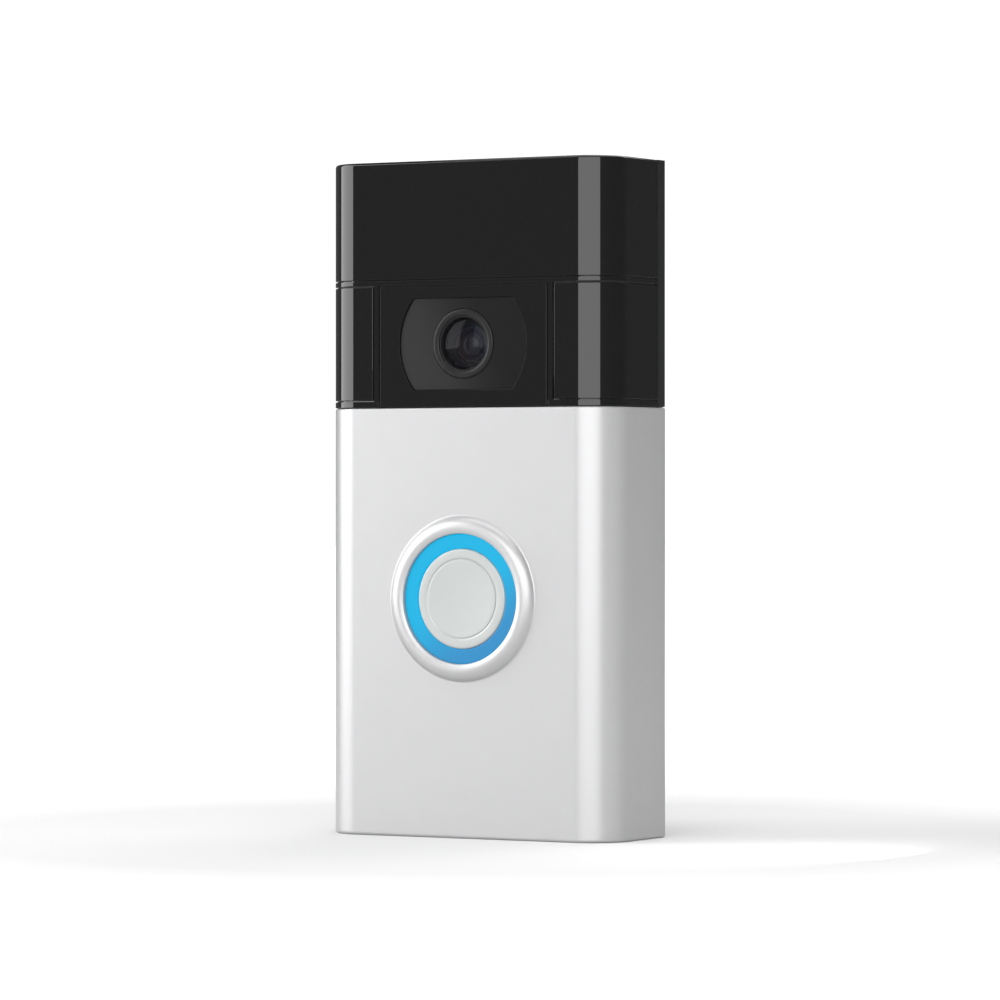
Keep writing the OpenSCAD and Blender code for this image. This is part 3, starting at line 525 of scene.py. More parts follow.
def make_side_cover(sizes, colours, side):
    """Gloss black cover of one corner: the outline of its wall carried up, with rounded ends."""
    low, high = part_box(f"side_cover_{side}")
    shape = corner_shape(sizes, SIDE_LOW.x, high.y, WALL, 1.0 if side == "right" else -1.0)
    surface = solid(Surface(), [(shape, rim_rows(low.z, high.z, sizes.edge, -1.0))], along_z, (0, 1))
    piece(f"gloss_side_cover_{side}", surface, gloss_black(colours), f"side_cover_{side}")


def make_strips(sizes, colours):
    """Polished skins of the frame's strips: the covers' outline carried up, a hair proud of the frame."""
    thick, proud = 0.3 * MM, 0.01 * MM
    back, inner = TOP_HIGH.y, PANEL_HIGH.x + sizes.seam
    lower = rim_rows(PANEL_LOW.z, SIDE_LOW.z - sizes.seam, 0.5 * sizes.edge, -1.0)
    upper = rim_rows(SIDE_HIGH.z + sizes.seam, TOP_LOW.z - sizes.seam, 0.5 * sizes.edge, -1.0)
    strips = [("gloss_strip_upper", round_front_shape(sizes, back, thick), upper),
              ("gloss_strip_left", corner_shape(sizes, inner, back, thick, -1.0), lower),
              ("gloss_strip_right", corner_shape(sizes, inner, back, thick, 1.0), lower)]
    for name, shape, rows in strips:
        surface = solid(Surface(), [(shape, rows + (proud, 0.0))], along_z, (0, 1))
        piece(name, surface, gloss_black(colours))


# ---- Camera ----

def window_shape(sizes, steps=48):
    """Shape function of the window: a circle cut flat above and below, grown by its argument."""
    def shape(grow):
        r, h = sizes.window_r + grow, sizes.window_h + grow
        end = math.degrees(math.asin(h / r))
        return np.concatenate((arc((0.0, LENS_Z), r, -end, end, steps),
                               arc((0.0, LENS_Z), r, 180.0 - end, 180.0 + end, steps)))
    return shape


def make_camera_panel(sizes, colours):
    """Gloss black middle panel with the barrel-shaped opening."""
    corners = [(PANEL_LOW.x, PANEL_LOW.z), (PANEL_HIGH.x, PANEL_LOW.z),
               (PANEL_HIGH.x, PANEL_HIGH.z), (PANEL_LOW.x, PANEL_HIGH.z)]

    def outline(grow):
        return rounded(corners, [2.0 * sizes.edge] * 4, -grow)

    surface = solid(Surface(), [(outline, rim_rows(FRONT_Y, COVER_IN_Y, sizes.edge, -1.0)),
                                (window_shape(sizes), rim_rows(FRONT_Y, COVER_IN_Y, 0.4 * sizes.edge, 1.0))],
                    along_y, (0, 2))
    piece("gloss_camera_panel", surface, gloss_black(colours), "camera_panel")


def make_camera_window(sizes, colours):
    """Smoked insert: the barrel-shaped plate, its hidden flange behind the panel and the lens's hole."""
    fit, flange = 0.05 * MM, WINDOW_HIGH.x - sizes.window_r
    front, back = WINDOW_LOW.y, WINDOW_HIGH.y
    edge = sizes.edge
    outer = [(-fit - edge, front), (-fit - 0.3 * edge, front + 0.3 * edge), (-fit, front + edge),
             (-fit, COVER_IN_Y), (flange, COVER_IN_Y), (flange, back)]
    hole = round_shape(0.0, LENS_Z, BEZEL_HIGH.x + fit, 120)
    bore = rim_rows(front, back, edge, 1.0)
    surface = solid(Surface(), [(window_shape(sizes), outer), (hole, bore)], along_y, (0, 2))
    piece("smoked_camera_window", surface, smoked_window(colours), "camera_window")


def make_lens(sizes, colours):
    """Lens bezel with its bright front edge, and the domed front lens."""
    r, mouth_in = BEZEL_HIGH.x, 0.5 * MM
    bore = LENS_HIGH.x + 0.05 * MM
    front, back = BEZEL_LOW.y, BEZEL_HIGH.y
    edge = 0.3 * MM
    profile = np.concatenate((
        [(bore, back), (bore, front + 0.7 * MM), (bore + 0.25 * MM, front + 0.3 * MM)],
        arc((bore + mouth_in + edge, front + edge), edge, 180, 270, 4),
        arc((r - edge, front + edge), edge, 270, 360, 6),
        [(r, back)]))
    piece("camera_lens_bezel", turned(Surface(), profile, LENS_Z), lens_bezel_black(colours),
          "lens_bezel", sharp=50.0)
    rho, half, edge = sizes.lens_rho, LENS_HIGH.x, 0.15 * MM
    t = np.radians(np.linspace(0.0, math.degrees(math.asin((half - edge) / rho)), 24))
    dome = np.column_stack((rho * np.sin(t), LENS_LOW.y + rho * (1.0 - np.cos(t))))
    side = dome[-1, 1]
    glass = np.concatenate((dome, [(half, side + edge), (half, LENS_HIGH.y), (0.0, LENS_HIGH.y)]))
    piece("camera_front_lens", turned(Surface(), glass, LENS_Z, closed=False), front_glass(),
          "front_lens", sharp=50.0)


def make_inner_lenses(colours):
    """Elements behind the front lens: a stepped cone, a raised ring, and a small dome round the pupil.

    Each dome is y + (r0^2 - r^2) / 2 rho, a shallow circle's height, between two radii.
    """
    outer, front, back = INNER_HIGH.x, INNER_LOW.y, INNER_HIGH.y
    ring_r, ring_w, dome_r, pupil_r = 2.1 * MM, 0.16 * MM, 1.45 * MM, 0.65 * MM
    r = np.linspace(ring_r - ring_w, dome_r, 8)
    middle = np.column_stack((r, front + 0.5 * MM + 0.05 * r))
    r = np.linspace(dome_r - 0.08 * MM, pupil_r, 8)
    dome = np.column_stack((r, front + 0.12 * MM + r ** 2 / (6.0 * MM)))
    profile = np.concatenate((
        [(0.0, back), (outer, back), (outer, front + 0.3 * MM), (outer - 0.25 * MM, front + 0.1 * MM),
         (outer - 0.55 * MM, front + 0.1 * MM), (outer - 0.7 * MM, front + 0.5 * MM),
         (ring_r + 0.4 * MM, front + 0.9 * MM)],
        arc((ring_r - ring_w / 2, front + 0.4 * MM), ring_w / 2, 360, 180, 6), middle,
        [(dome_r, front + 0.35 * MM)], dome,
        [(pupil_r - 0.08 * MM, front + 0.5 * MM), (0.0, front + 0.42 * MM)]))
    piece("camera_inner_lenses", turned(Surface(), profile, LENS_Z, closed=False), coated_glass(colours),
          "inner_lenses", sharp=50.0)


# ---- Halo and button ----

def make_halo(sizes, colours):
    """Ring-shaped light guide with softly rounded front edges, its foot and the ledge behind the cap."""
    r = HALO_HIGH.x - sizes.halo_foot
    bore = CAP_HIGH.x - sizes.cap_lip + 0.1 * MM
    front, back = HALO_LOW.y, HALO_HIGH.y
    foot_y = back - 1.0 * MM
    ledge = 1.0 * MM
    step_y = foot_y - 0.4 * MM
    soft = 0.28 * MM
    profile = np.concatenate((
        [(bore, step_y)], arc((bore + soft, front + soft), soft, 180, 270, 6),
        arc((r - soft, front + soft), soft, 270, 360, 6),
        [(r, foot_y), (HALO_HIGH.x, foot_y), (HALO_HIGH.x, back),
         (bore + ledge, back), (bore + ledge, step_y)]))
    piece("lit_halo", turned(Surface(), profile, BUTTON_Z, 192), lit_halo(colours),
          "halo_light_guide", sharp=50.0)


def make_button_cap(sizes, colours):
    """Push button: a shallow dish, a fine groove, a rounded edge, and the skirt, lip and stem behind it."""
    r = CAP_HIGH.x - sizes.cap_lip
    face, skirt_end = CAP_LOW.y, CAP_HIGH.y
    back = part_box("switch_plunger")[0].y
    groove = r - sizes.groove_in
    half, depth, soft = sizes.groove_w / 2, 0.13 * MM, 0.05 * MM
    dish_r = groove - half - 0.4 * MM
    t = np.linspace(0.0, 1.0, 14)
    dish = np.column_stack((dish_r * t, face + sizes.dish * (1.0 - t ** 2)))
    round_r = 0.4 * MM
    stem_r, under = 2.2 * MM, face + WALL
    lip_front = skirt_end - 0.6 * MM
    profile = np.concatenate((
        dish, arc((groove - half - soft, face + soft), soft, 270, 360, 3),
        [(groove - half, face + depth), (groove - half + soft, face + depth)],
        arc((groove + half + soft, face + soft), soft, 225, 270, 3),
        arc((r - round_r, face + round_r), round_r, 270, 360, 7),
        [(r, lip_front), (CAP_HIGH.x, lip_front), (CAP_HIGH.x, skirt_end), (r - sizes.cap_wall, skirt_end),
         (r - sizes.cap_wall, under), (stem_r, under), (stem_r, back), (0.0, back)]))
    piece("push_button_cap", turned(Surface(), profile, BUTTON_Z, 192, closed=False),
          cap_lacquer(colours), "button_cap", body="button", sharp=50.0)


# ---- Effects that several finishes share ----

def node(tree, kind, inputs, **settings):
    """New shader node with those settings; each input is a value, or the output that feeds it."""
    made = tree.nodes.new(f"ShaderNode{kind}")
    for name, value in settings.items():
        setattr(made, name, value)
    for socket, value in inputs.items():
        if isinstance(value, bpy.types.NodeSocket):
            tree.links.new(value, made.inputs[socket])
        else:
            made.inputs[socket].default_value = value
    return made


def effect(name, pattern):
    """Node group that makes a Height and a Mask from a Vector and a Scale by that pattern, built once."""
    tree = bpy.data.node_groups.get(name)
    if tree:
        return tree
    tree = bpy.data.node_groups.new(name, "ShaderNodeTree")
    for socket, way, kind in (("Vector", "INPUT", "Vector"), ("Scale", "INPUT", "Float"),
                              ("Height", "OUTPUT", "Float"), ("Mask", "OUTPUT", "Float")):
        tree.interface.new_socket(socket, in_out=way, socket_type=f"NodeSocket{kind}")
    start, end = tree.nodes.new("NodeGroupInput"), tree.nodes.new("NodeGroupOutput")
    height, mask = pattern(tree, start.outputs["Vector"], start.outputs["Scale"])
    tree.links.new(height, end.inputs["Height"])
    tree.links.new(mask, end.inputs["Mask"])
    return tree


def noise(tree, vector, scale, detail):
    """Noise texture on that vector at that scale."""
    return node(tree, "TexNoise", {"Vector": vector, "Scale": scale, "Detail": detail}).outputs["Fac"]


def sums(tree, operation, first, second):
    """Math node with two inputs."""
    return node(tree, "Math", {0: first, 1: second}, operation=operation).outputs[0]


def moulded_grain(tree, vector, scale):
    """Fine noise as the height, and broad noise as the mask."""
    return noise(tree, vector, scale, 3.0), noise(tree, vector, sums(tree, "MULTIPLY", scale, 0.04), 2.0)


def brushed_lines(tree, vector, scale):
    """Noise drawn out along X as the height, and the same noise, broader, as the mask."""
    drawn = node(tree, "VectorMath", {0: vector, 1: (0.05, 1.0, 1.0)}, operation="MULTIPLY").outputs[0]
    return noise(tree, drawn, scale, 4.0), noise(tree, drawn, sums(tree, "MULTIPLY", scale, 0.2), 2.0)


def foam_cells(tree, vector, scale):
    """Round cells of a Voronoi pattern as the height, and their random shade as the mask."""
    cells = node(tree, "TexVoronoi", {"Vector": vector, "Scale": scale})
    return cells.outputs["Distance"], node(tree, "SeparateColor", {0: cells.outputs["Color"]}).outputs[0]


def crossed_weave(tree, vector, scale):
    """The higher of two crossed waves as the height, and their product as the mask."""
    waves = [node(tree, "TexWave", {"Vector": vector, "Scale": scale}, bands_direction=along).outputs["Fac"]
             for along in ("X", "Y")]
    return sums(tree, "MAXIMUM", *waves), sums(tree, "MULTIPLY", *waves)


def copper_tracks(tree, vector, scale):
    """Square steps of a brick pattern as both, like tracks under a solder mask."""
    turn = node(tree, "Mapping", {"Vector": vector, "Rotation": (math.pi / 2, 0.0, 0.0)})
    bricks = node(tree, "TexBrick", {
        "Vector": turn.outputs[0], "Scale": scale, "Mortar Size": 0.06,
        "Color1": (1, 1, 1, 1), "Color2": (0.6, 0.6, 0.6, 1), "Mortar": (0, 0, 0, 1)})
    grey = node(tree, "RGBToBW", {0: bricks.outputs["Color"]}).outputs[0]
    return grey, grey


# ---- Finishes ----

EFFECTS = {"grain": ("Moulded Grain", moulded_grain), "brushed": ("Brushed Lines", brushed_lines),
           "cells": ("Cells", foam_cells), "weave": ("Weave", crossed_weave),
           "tracks": ("Copper Tracks", copper_tracks)}


def darker(value, share):
    """Colour dimmed by that share."""
    return tuple(c * share for c in value)


def slope(tree, height, along, start, end):
    """Value that rises smoothly from 0 to 1 along a direction, between two distances from (0, 0, height)."""
    place = node(tree, "TexCoord", {}).outputs["Object"]
    away = node(tree, "VectorMath", {0: place, 1: (0.0, 0.0, height)}, operation="SUBTRACT").outputs[0]
    reach = node(tree, "VectorMath", {0: away, 1: along}, operation="DOT_PRODUCT").outputs["Value"]
    rise = node(tree, "MapRange", {"Value": reach, "From Min": start, "From Max": end},
                interpolation_type="SMOOTHSTEP")
    return rise.outputs["Result"]


def two_tone(tree, factor, first, second, socket):
    """Feeds the socket with the first colour where the factor is 0 and the second where it is 1."""
    mix = node(tree, "Mix", {"Factor": factor}, data_type="RGBA")
    mix.inputs["A"].default_value = (*first, 1.0)
    mix.inputs["B"].default_value = (*second, 1.0)
    tree.links.new(mix.outputs["Result"], socket)


def finish(name, light, dark, roughness, spread, kind="grain", scale=4000.0, relief=0.004 * MM,
           painted_reflection=None, **sockets):
    """Procedural finish on Object coordinates.

    The effect's mask mixes the two colours and moves the roughness by spread either way, and its height
    is a bump of that relief. A painted reflection colours the surface instead: painted light, from light to
    dark along a direction.
    Other sockets of the shader are set as they are.
    """
    material = bpy.data.materials.get(name)
    if material:
        return material
    material = bpy.data.materials.new(name)
    material.use_nodes = True
    tree = material.node_tree
    shader = tree.nodes["Principled BSDF"]
    pattern = tree.nodes.new("ShaderNodeGroup")
    pattern.node_tree = effect(*EFFECTS[kind])
    pattern.inputs["Scale"].default_value = scale
    tree.links.new(node(tree, "TexCoord", {}).outputs["Object"], pattern.inputs["Vector"])
    height, mask = pattern.outputs["Height"], pattern.outputs["Mask"]
    if painted_reflection:
        two_tone(tree, slope(tree, *painted_reflection), light, dark, shader.inputs["Base Color"])
    else:
        two_tone(tree, mask, dark, light, shader.inputs["Base Color"])
    shader.inputs["Roughness"].default_value = roughness
    if spread:
        rough = node(tree, "MapRange", {"Value": mask, "To Min": max(roughness - spread, 0.0),
                                        "To Max": roughness + spread})
        tree.links.new(rough.outputs["Result"], shader.inputs["Roughness"])
    if relief:
        bump = node(tree, "Bump", {"Distance": relief, "Height": height})
        tree.links.new(bump.outputs["Normal"], shader.inputs["Normal"])
    for socket, value in sockets.items():
        shader.inputs[socket].default_value = value
    return material


def silver_lacquer(colours):
    return finish("Silver lacquer", colours.silver, darker(colours.silver, 0.97), 0.36, 0.02,
                  scale=9000.0, relief=0.0015 * MM, Metallic=0.5)


def cap_lacquer(colours):
    return finish("Cap lacquer", colours.cap, darker(colours.cap, 0.97), 0.36, 0.02,
                  scale=9000.0, relief=0.001 * MM, Metallic=0.2)


def gloss_black(colours):
    return finish("Gloss black", colours.black, darker(colours.black, 0.8), 0.03, 0.008,
                  scale=900.0, relief=0.0, **{"Specular IOR Level": 0.42})


def satin_black(colours):
    return finish("Satin black", colours.satin, darker(colours.satin, 0.8), 0.45, 0.05,
                  scale=7000.0, relief=0.012 * MM, **{"Specular IOR Level": 0.22})


def smoked_window(colours):
    """Smoked insert with a painted reflection: its colour is paler at the lower left than at the upper right.
    """
    return finish("Smoked window", darker(colours.window, 1.5), darker(colours.window, 0.35), 0.32, 0.03,
                  # Painted reflection: the smoked colour is lightened at the lower left and darkened at the
                  # upper right.
                  scale=6000.0, relief=0.002 * MM, painted_reflection=(LENS_Z, (0.92, 0.0, 0.4), -11.0 * MM, 7.0 * MM),
                  **{"Specular IOR Level": 0.1})


def lens_bezel_black(colours):
    return finish("Lens bezel black", darker(colours.window, 1.1), darker(colours.window, 0.9), 0.26, 0.04,
                  scale=5000.0, relief=0.002 * MM, **{"Metallic": 0.3, "Specular IOR Level": 0.22})


def front_glass():
    """Clear coated front lens: a thin dark blue tint over what lies behind it."""
    return finish("Front glass", (0.006, 0.007, 0.011), (0.004, 0.004, 0.007), 0.02, 0.0,
                  scale=300.0, relief=0.0, **{"Alpha": 0.25, "Specular IOR Level": 0.25})


def coated_glass(colours):
    """Dark coated glass with a painted reflection of its coating: a warm brown that turns to a deep blue on
    the right.
    """
    # Painted reflection: the base colour runs from brown at the left to blue at the right.
    return finish("Coated glass", colours.glass_reflection_left, colours.glass_reflection_right, 0.08, 0.0,
                  relief=0.0, painted_reflection=(LENS_Z, (0.9, 0.0, 0.4), -3.0 * MM, 2.0 * MM))


def lit_halo(colours):
    """Frosted light guide that glows; its light turns from the upper left's cyan to the lower right's blue,
    and that turn is painted shade.
    """
    material = finish("Lit halo", darker(colours.halo_glow_lit, 0.03), darker(colours.halo_glow_shaded, 0.03), 0.35, 0.03,
                      scale=1500.0, relief=0.0, **{"Specular IOR Level": 0.15, "Emission Strength": 1.0})
    tree = material.node_tree
    # Painted shade on the glow: paler cyan at the lit upper left, deeper blue at the lower right.
    turn = slope(tree, BUTTON_Z, (0.5, 0.0, -0.87), -2.5 * MM, 10.0 * MM)
    two_tone(tree, turn, colours.halo_glow_lit, colours.halo_glow_shaded,
             tree.nodes["Principled BSDF"].inputs["Emission Color"])
    return material


BRUSHED = dict(kind="brushed", scale=5000.0, relief=0.002 * MM, Metallic=1.0)
MOULDED = dict(scale=7000.0, relief=0.008 * MM)
FILM = dict(kind="brushed", scale=2000.0, relief=0.01 * MM)
FOIL = dict(scale=1200.0, relief=0.03 * MM, Metallic=0.5)

# Slot: name, light, dark, roughness, its spread, and the other options
PLAIN_FINISHES = {
    "steel": ("Plated steel", (0.62, 0.62, 0.64), (0.5, 0.5, 0.52), 0.3, 0.06, BRUSHED),
    "brass": ("Turned brass", (0.78, 0.58, 0.28), (0.66, 0.48, 0.22), 0.28, 0.06, BRUSHED),
    "copper_coil": ("Enamelled wire", (0.62, 0.27, 0.1), (0.4, 0.15, 0.05), 0.35, 0.05,
                    dict(kind="weave", scale=3000.0, relief=0.05 * MM, Metallic=0.7)),
    "chip_black": ("Matt epoxy", (0.02, 0.02, 0.021), (0.014, 0.014, 0.015), 0.6, 0.06, MOULDED),
    "circuit_board": ("Solder mask", (0.02, 0.13, 0.06), (0.01, 0.07, 0.035), 0.35, 0.05,
                      dict(kind="tracks", scale=600.0, relief=0.03 * MM)),
    "lamp_lens": ("Clear lamp body", (0.8, 0.78, 0.66), (0.7, 0.68, 0.5), 0.12, 0.03, MOULDED),
    "white_plastic": ("Matt white", (0.8, 0.8, 0.79), (0.74, 0.74, 0.73), 0.5, 0.05, MOULDED),
    "rubber": ("Silicone", (0.09, 0.09, 0.095), (0.06, 0.06, 0.063), 0.7, 0.06, MOULDED),
    "flat_cable": ("Polyimide film", (0.6, 0.27, 0.05), (0.45, 0.18, 0.03), 0.25, 0.05, FILM),
    "cell_wrap": ("Laminated foil", (0.2, 0.22, 0.26), (0.15, 0.17, 0.2), 0.3, 0.06, FOIL),
    "foam": ("Closed cell foam", (0.03, 0.03, 0.031), (0.01, 0.01, 0.01), 0.85, 0.05,
             dict(kind="cells", scale=2500.0, relief=0.1 * MM)),
    "lead_red": ("Lead insulation", (0.5, 0.03, 0.03), (0.38, 0.02, 0.02), 0.4, 0.05, MOULDED),
    "cone_paper": ("Pressed film", (0.06, 0.06, 0.065), (0.04, 0.04, 0.043), 0.6, 0.05, MOULDED),
    "mesh_cloth": ("Acoustic mesh", (0.07, 0.07, 0.07), (0.015, 0.015, 0.015), 0.8, 0.05,
                   dict(kind="weave", scale=2500.0, relief=0.08 * MM)),
    "setup_orange": ("Setup orange", (0.75, 0.16, 0.02), (0.65, 0.13, 0.015), 0.4, 0.05, MOULDED),
}
NAMED_FINISHES = {"gloss_black": gloss_black, "black_plastic": satin_black, "smoked_window": smoked_window,
                  "lens_bezel": lens_bezel_black, "lens_glass": coated_glass}


def slot_finish(slot, colours):
    """Finish of a piece that is carried over from the frame, by its material slot."""
    if slot in NAMED_FINISHES:
        return NAMED_FINISHES[slot](colours)
    *values, options = PLAIN_FINISHES[slot]
    return finish(*values, **options)


def dress_frame_pieces(colours):
    """Gives each piece that is carried over its finish and softly rounded edges."""
    for part in frame["record"]["subparts"]:
        obj = frame["nodes"][part["node"]]
        if obj.hide_render:
            continue
        obj.data.materials.clear()
        obj.data.materials.append(slot_finish(part["material_slot"], colours))
        obj.data.shade_smooth()
        weld = obj.modifiers.new("Merged points", "WELD")
        weld.merge_threshold = 0.001 * MM
        round_edges(obj, 0.12 * MM, 35.0)
        weigh_normals(obj)


# ---- Stage ----

STUDIO_REACH = 1.3


def area_light(name, wide, high, strength, place):
    """Area light at that place, its power in step with its size, and not itself seen."""
    light = bpy.data.lights.new(name, "AREA")
    light.shape = "RECTANGLE"
    light.size, light.size_y = wide, high
    light.energy = strength * wide * high
    obj = bpy.data.objects.new(name, light)
    obj.location = place
    obj.visible_camera = False
    bpy.context.scene.collection.objects.link(obj)
    return obj


def soft_box(name, azimuth, spread, distance, low, high, strength):
    """Upright light that spans spread degrees about azimuth and rises from low to high, facing the object."""
    a = math.radians(azimuth)
    obj = area_light(name, 2.0 * distance * math.tan(math.radians(spread / 2)), high - low, strength,
                     (distance * math.sin(a), -distance * math.cos(a), (low + high) / 2))
    obj.rotation_euler = (math.pi / 2, 0.0, a)
    return obj


def panel_light(name, azimuth, elevation, distance, width, strength):
    """Square light in that direction, aimed at the object's middle."""
    a, e = math.radians(azimuth), math.radians(elevation)
    away = Vector((math.sin(a) * math.cos(e), -math.cos(a) * math.cos(e), math.sin(e)))
    middle = Vector((0.0, 0.0, CAD_BOX[1].z / 2))
    obj = area_light(name, width, width, strength, middle + distance * away)
    obj.rotation_mode = "QUATERNION"
    obj.rotation_quaternion = away.to_track_quat("Z", "Y")


def make_lights():
    """Two upright soft boxes beside the front, panels behind and overhead, and a strip beside the right."""
    soft_box("Right box", 19.0, 64.0, STUDIO_REACH, -0.1, 1.0, 11.8)
    soft_box("Left box", -60.0, 49.0, STUDIO_REACH, -0.1, 1.2, 16.0)
    panel_light("Back box", 180.0, 50.0, STUDIO_REACH, 0.9, 9.0)
    panel_light("Overhead box", 0.0, 89.0, 1.4, 1.6, 7.0)
    strip_gap, ahead = 60.0 * MM, 1.0 * MM
    side = soft_box("Side strip", 90.0, 12.0, HALF_W + strip_gap, 0.0, 0.2, 15.0)
    side.location.y = FRONT_Y - ahead
    side.visible_glossy = False


def make_world():
    """White behind the object; for every other ray grey in front, falling to a dim grey behind."""
    world = bpy.data.worlds.new("Studio")
    world.use_nodes = True
    tree = world.node_tree
    tree.nodes.clear()
    split = node(tree, "SeparateXYZ", {0: node(tree, "TexCoord", {}).outputs["Generated"]})
    front = node(tree, "MapRange", {"Value": split.outputs["Y"], "From Min": 0.85, "From Max": -0.85,
                                    "To Min": 0.16, "To Max": 0.33})
    dim = node(tree, "Background", {"Color": front.outputs["Result"]})
    white = node(tree, "Background", {"Color": (1.0, 1.0, 1.0, 1.0), "Strength": 1.1})
    path = node(tree, "LightPath", {})
    mix = node(tree, "MixShader", {0: path.outputs["Is Camera Ray"], 1: dim.outputs[0], 2: white.outputs[0]})
    node(tree, "OutputWorld", {0: mix.outputs[0]})
    bpy.context.scene.world = world


def pale_floor():
    """White floor that takes faint shadows near the object, and glows more with the distance from it."""
    material = finish("Pale floor", (0.56, 0.56, 0.56), (0.55, 0.55, 0.55), 0.9, 0.02,
                      scale=300.0, relief=0.0, **{"Emission Color": (1.0, 1.0, 1.0, 1.0)})
    tree = material.node_tree
    place = node(tree, "TexCoord", {}).outputs["Object"]
    reach = node(tree, "VectorMath", {0: place}, operation="LENGTH").outputs["Value"]
    glow = node(tree, "MapRange", {"Value": reach, "From Min": 0.1, "From Max": 0.5,
                                   "To Min": 0.0, "To Max": 1.2}).outputs["Result"]
    seen = sums(tree, "MULTIPLY", glow, node(tree, "LightPath", {}).outputs["Is Camera Ray"])
    tree.links.new(seen, tree.nodes["Principled BSDF"].inputs["Emission Strength"])
    return material


def make_floor():
    """Pale round floor under the object."""
    t = np.linspace(0.0, 2.0 * np.pi, 96, endpoint=False)
    rings = np.array([0.15, 0.6, 2.0, 6.0])[:, None]
    grid = np.stack((rings * np.cos(t), rings * np.sin(t), 0.0 * rings * t), axis=-1)
    surface = Surface()
    index = surface.rows(grid)
    surface.pole(index[0], (0.0, 0.0, 0.0))
    mesh = bpy.data.meshes.new("Floor")
    mesh.from_pydata(np.concatenate(surface.points).tolist(), [], surface.faces)
    floor = bpy.data.objects.new("Floor", mesh)
    bpy.context.scene.collection.objects.link(floor)
    mesh.materials.append(pale_floor())


def make_camera():
    """Long lens a little to the right, level with the object's middle."""
    azimuth, distance, aside, lower = math.radians(30.04), 0.961, 1.5 * MM, 0.19 * MM
    centre = Vector((0.0, (FRONT_Y + FACE_HIGH.y) / 2, (CAD_BOX[0].z + CAD_BOX[1].z) / 2))
    away = Vector((math.sin(azimuth), -math.cos(azimuth), 0.0))
    right = Vector((math.cos(azimuth), math.sin(azimuth), 0.0))
    camera = bpy.data.objects.new("Camera", bpy.data.cameras.new("Camera"))
    camera.data.lens = 184.0
    camera.data.sensor_width = 36.0
    camera.data.clip_start = 0.01
    camera.location = centre + distance * away + aside * right - Vector((0.0, 0.0, lower))
    camera.rotation_mode = "QUATERNION"
    camera.rotation_quaternion = (-away).to_track_quat("-Z", "Y")
    bpy.context.scene.collection.objects.link(camera)
    bpy.context.scene.camera = camera


# ---- Operators ----

class DOORBELL_OT_faceplate(bpy.types.Operator):
    """Build the silver lower cover with its raised rim"""
    bl_idname = "doorbell.faceplate"
    bl_label = "Faceplate"

    def execute(self, context):
        make_faceplate(*settings(context))
        return {"FINISHED"}


class DOORBELL_OT_black_covers(bpy.types.Operator):
    """Build the gloss black covers of the two corners and of the motion section"""
    bl_idname = "doorbell.black_covers"
    bl_label = "Black covers"

    def execute(self, context):
        sizes, colours = settings(context)
        make_top_cover(sizes, colours)
        make_strips(sizes, colours)
        for side in ("left", "right"):
            make_side_cover(sizes, colours, side)
        return {"FINISHED"}


class DOORBELL_OT_camera_panel(bpy.types.Operator):
    """Build the middle panel and the smoked window in it"""
    bl_idname = "doorbell.camera_panel"
    bl_label = "Camera panel and window"

    def execute(self, context):
        make_camera_panel(*settings(context))
        make_camera_window(*settings(context))
        return {"FINISHED"}


class DOORBELL_OT_lens(bpy.types.Operator):
    """Build the lens bezel and the front lens"""
    bl_idname = "doorbell.lens"
    bl_label = "Lens"

    def execute(self, context):
        sizes, colours = settings(context)
        make_lens(sizes, colours)
        make_inner_lenses(colours)
        return {"FINISHED"}


class DOORBELL_OT_halo(bpy.types.Operator):
    """Build the lit halo round the button"""
    bl_idname = "doorbell.halo"
    bl_label = "Halo"

    def execute(self, context):
        make_halo(*settings(context))
        return {"FINISHED"}


class DOORBELL_OT_button_cap(bpy.types.Operator):
    """Build the push button's cap"""
    bl_idname = "doorbell.button_cap"
    bl_label = "Button cap"

    def execute(self, context):
        make_button_cap(*settings(context))
        return {"FINISHED"}


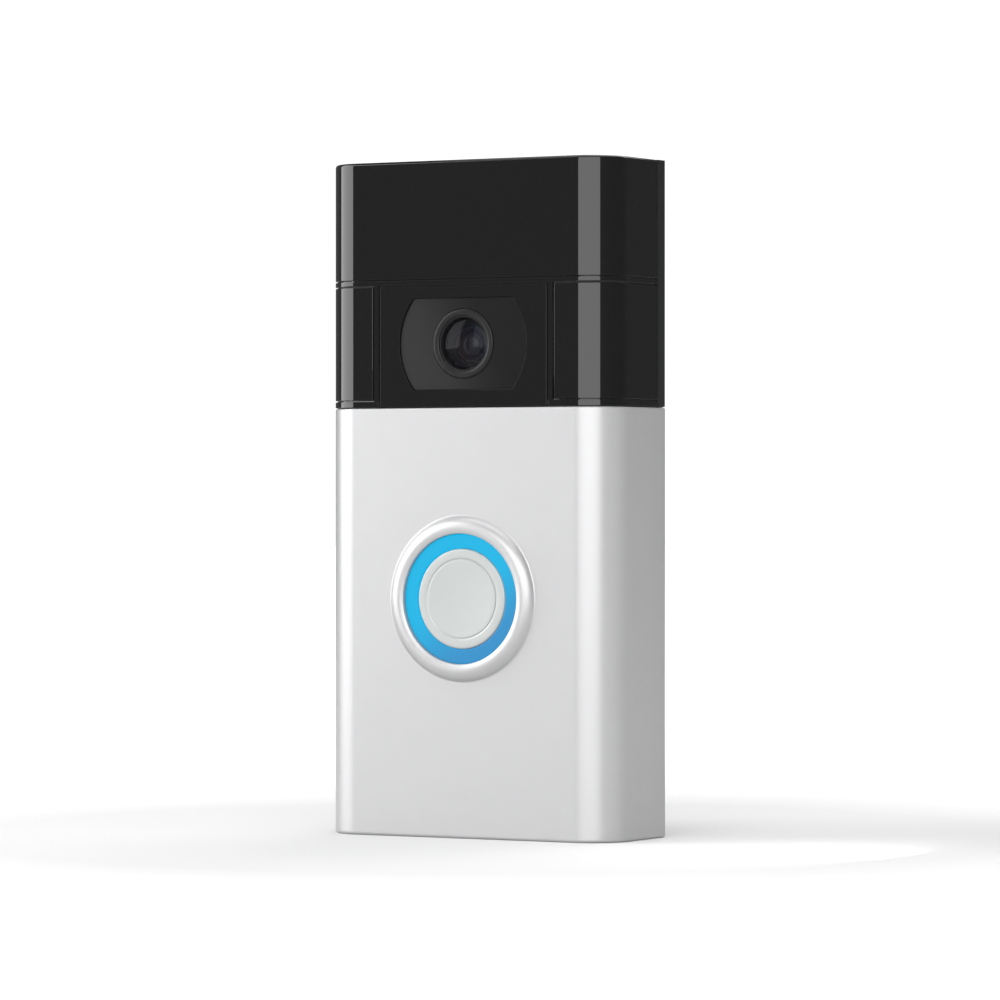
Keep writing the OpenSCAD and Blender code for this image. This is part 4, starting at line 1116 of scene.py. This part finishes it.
class DOORBELL_OT_frame_pieces(bpy.types.Operator):
    """Dress the pieces that are carried over from the frame"""
    bl_idname = "doorbell.frame_pieces"
    bl_label = "Frame pieces"

    def execute(self, context):
        dress_frame_pieces(context.scene.doorbell_colours)
        return {"FINISHED"}


class DOORBELL_OT_stage(bpy.types.Operator):
    """Make the floor, the world, the lights and the camera"""
    bl_idname = "doorbell.stage"
    bl_label = "Stage"

    def execute(self, context):
        make_floor()
        make_world()
        make_lights()
        make_camera()
        return {"FINISHED"}


STEPS = (DOORBELL_OT_faceplate, DOORBELL_OT_black_covers, DOORBELL_OT_camera_panel, DOORBELL_OT_lens,
         DOORBELL_OT_halo, DOORBELL_OT_button_cap, DOORBELL_OT_frame_pieces, DOORBELL_OT_stage)


class DOORBELL_PT_build(bpy.types.Panel):
    """Steps that build the doorbell, and its sizes and colours"""
    bl_idname = "DOORBELL_PT_build"
    bl_label = "Video doorbell"
    bl_space_type = "VIEW_3D"
    bl_region_type = "UI"
    bl_category = "Doorbell"

    def draw(self, context):
        layout = self.layout
        for step in STEPS:
            layout.operator(step.bl_idname)
        for group in (context.scene.doorbell_sizes, context.scene.doorbell_colours):
            box = layout.box()
            for name in group.__annotations__:
                box.prop(group, name)


CLASSES = (DoorbellSizes, DoorbellColours, *STEPS, DOORBELL_PT_build)


def settings(context):
    """The scene's sizes and colours."""
    return context.scene.doorbell_sizes, context.scene.doorbell_colours


def register():
    for cls in CLASSES:
        bpy.utils.register_class(cls)
    bpy.types.Scene.doorbell_sizes = bpy.props.PointerProperty(type=DoorbellSizes)
    bpy.types.Scene.doorbell_colours = bpy.props.PointerProperty(type=DoorbellColours)


def unregister():
    del bpy.types.Scene.doorbell_colours
    del bpy.types.Scene.doorbell_sizes
    for cls in reversed(CLASSES):
        bpy.utils.unregister_class(cls)


def main():
    """Registers the add-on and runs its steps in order."""
    register()
    bpy.context.scene.view_settings.view_transform = "Standard"
    for step in STEPS:
        group, name = step.bl_idname.split(".")
        getattr(getattr(bpy.ops, group), name)()


if __name__ == "__main__":
    main()
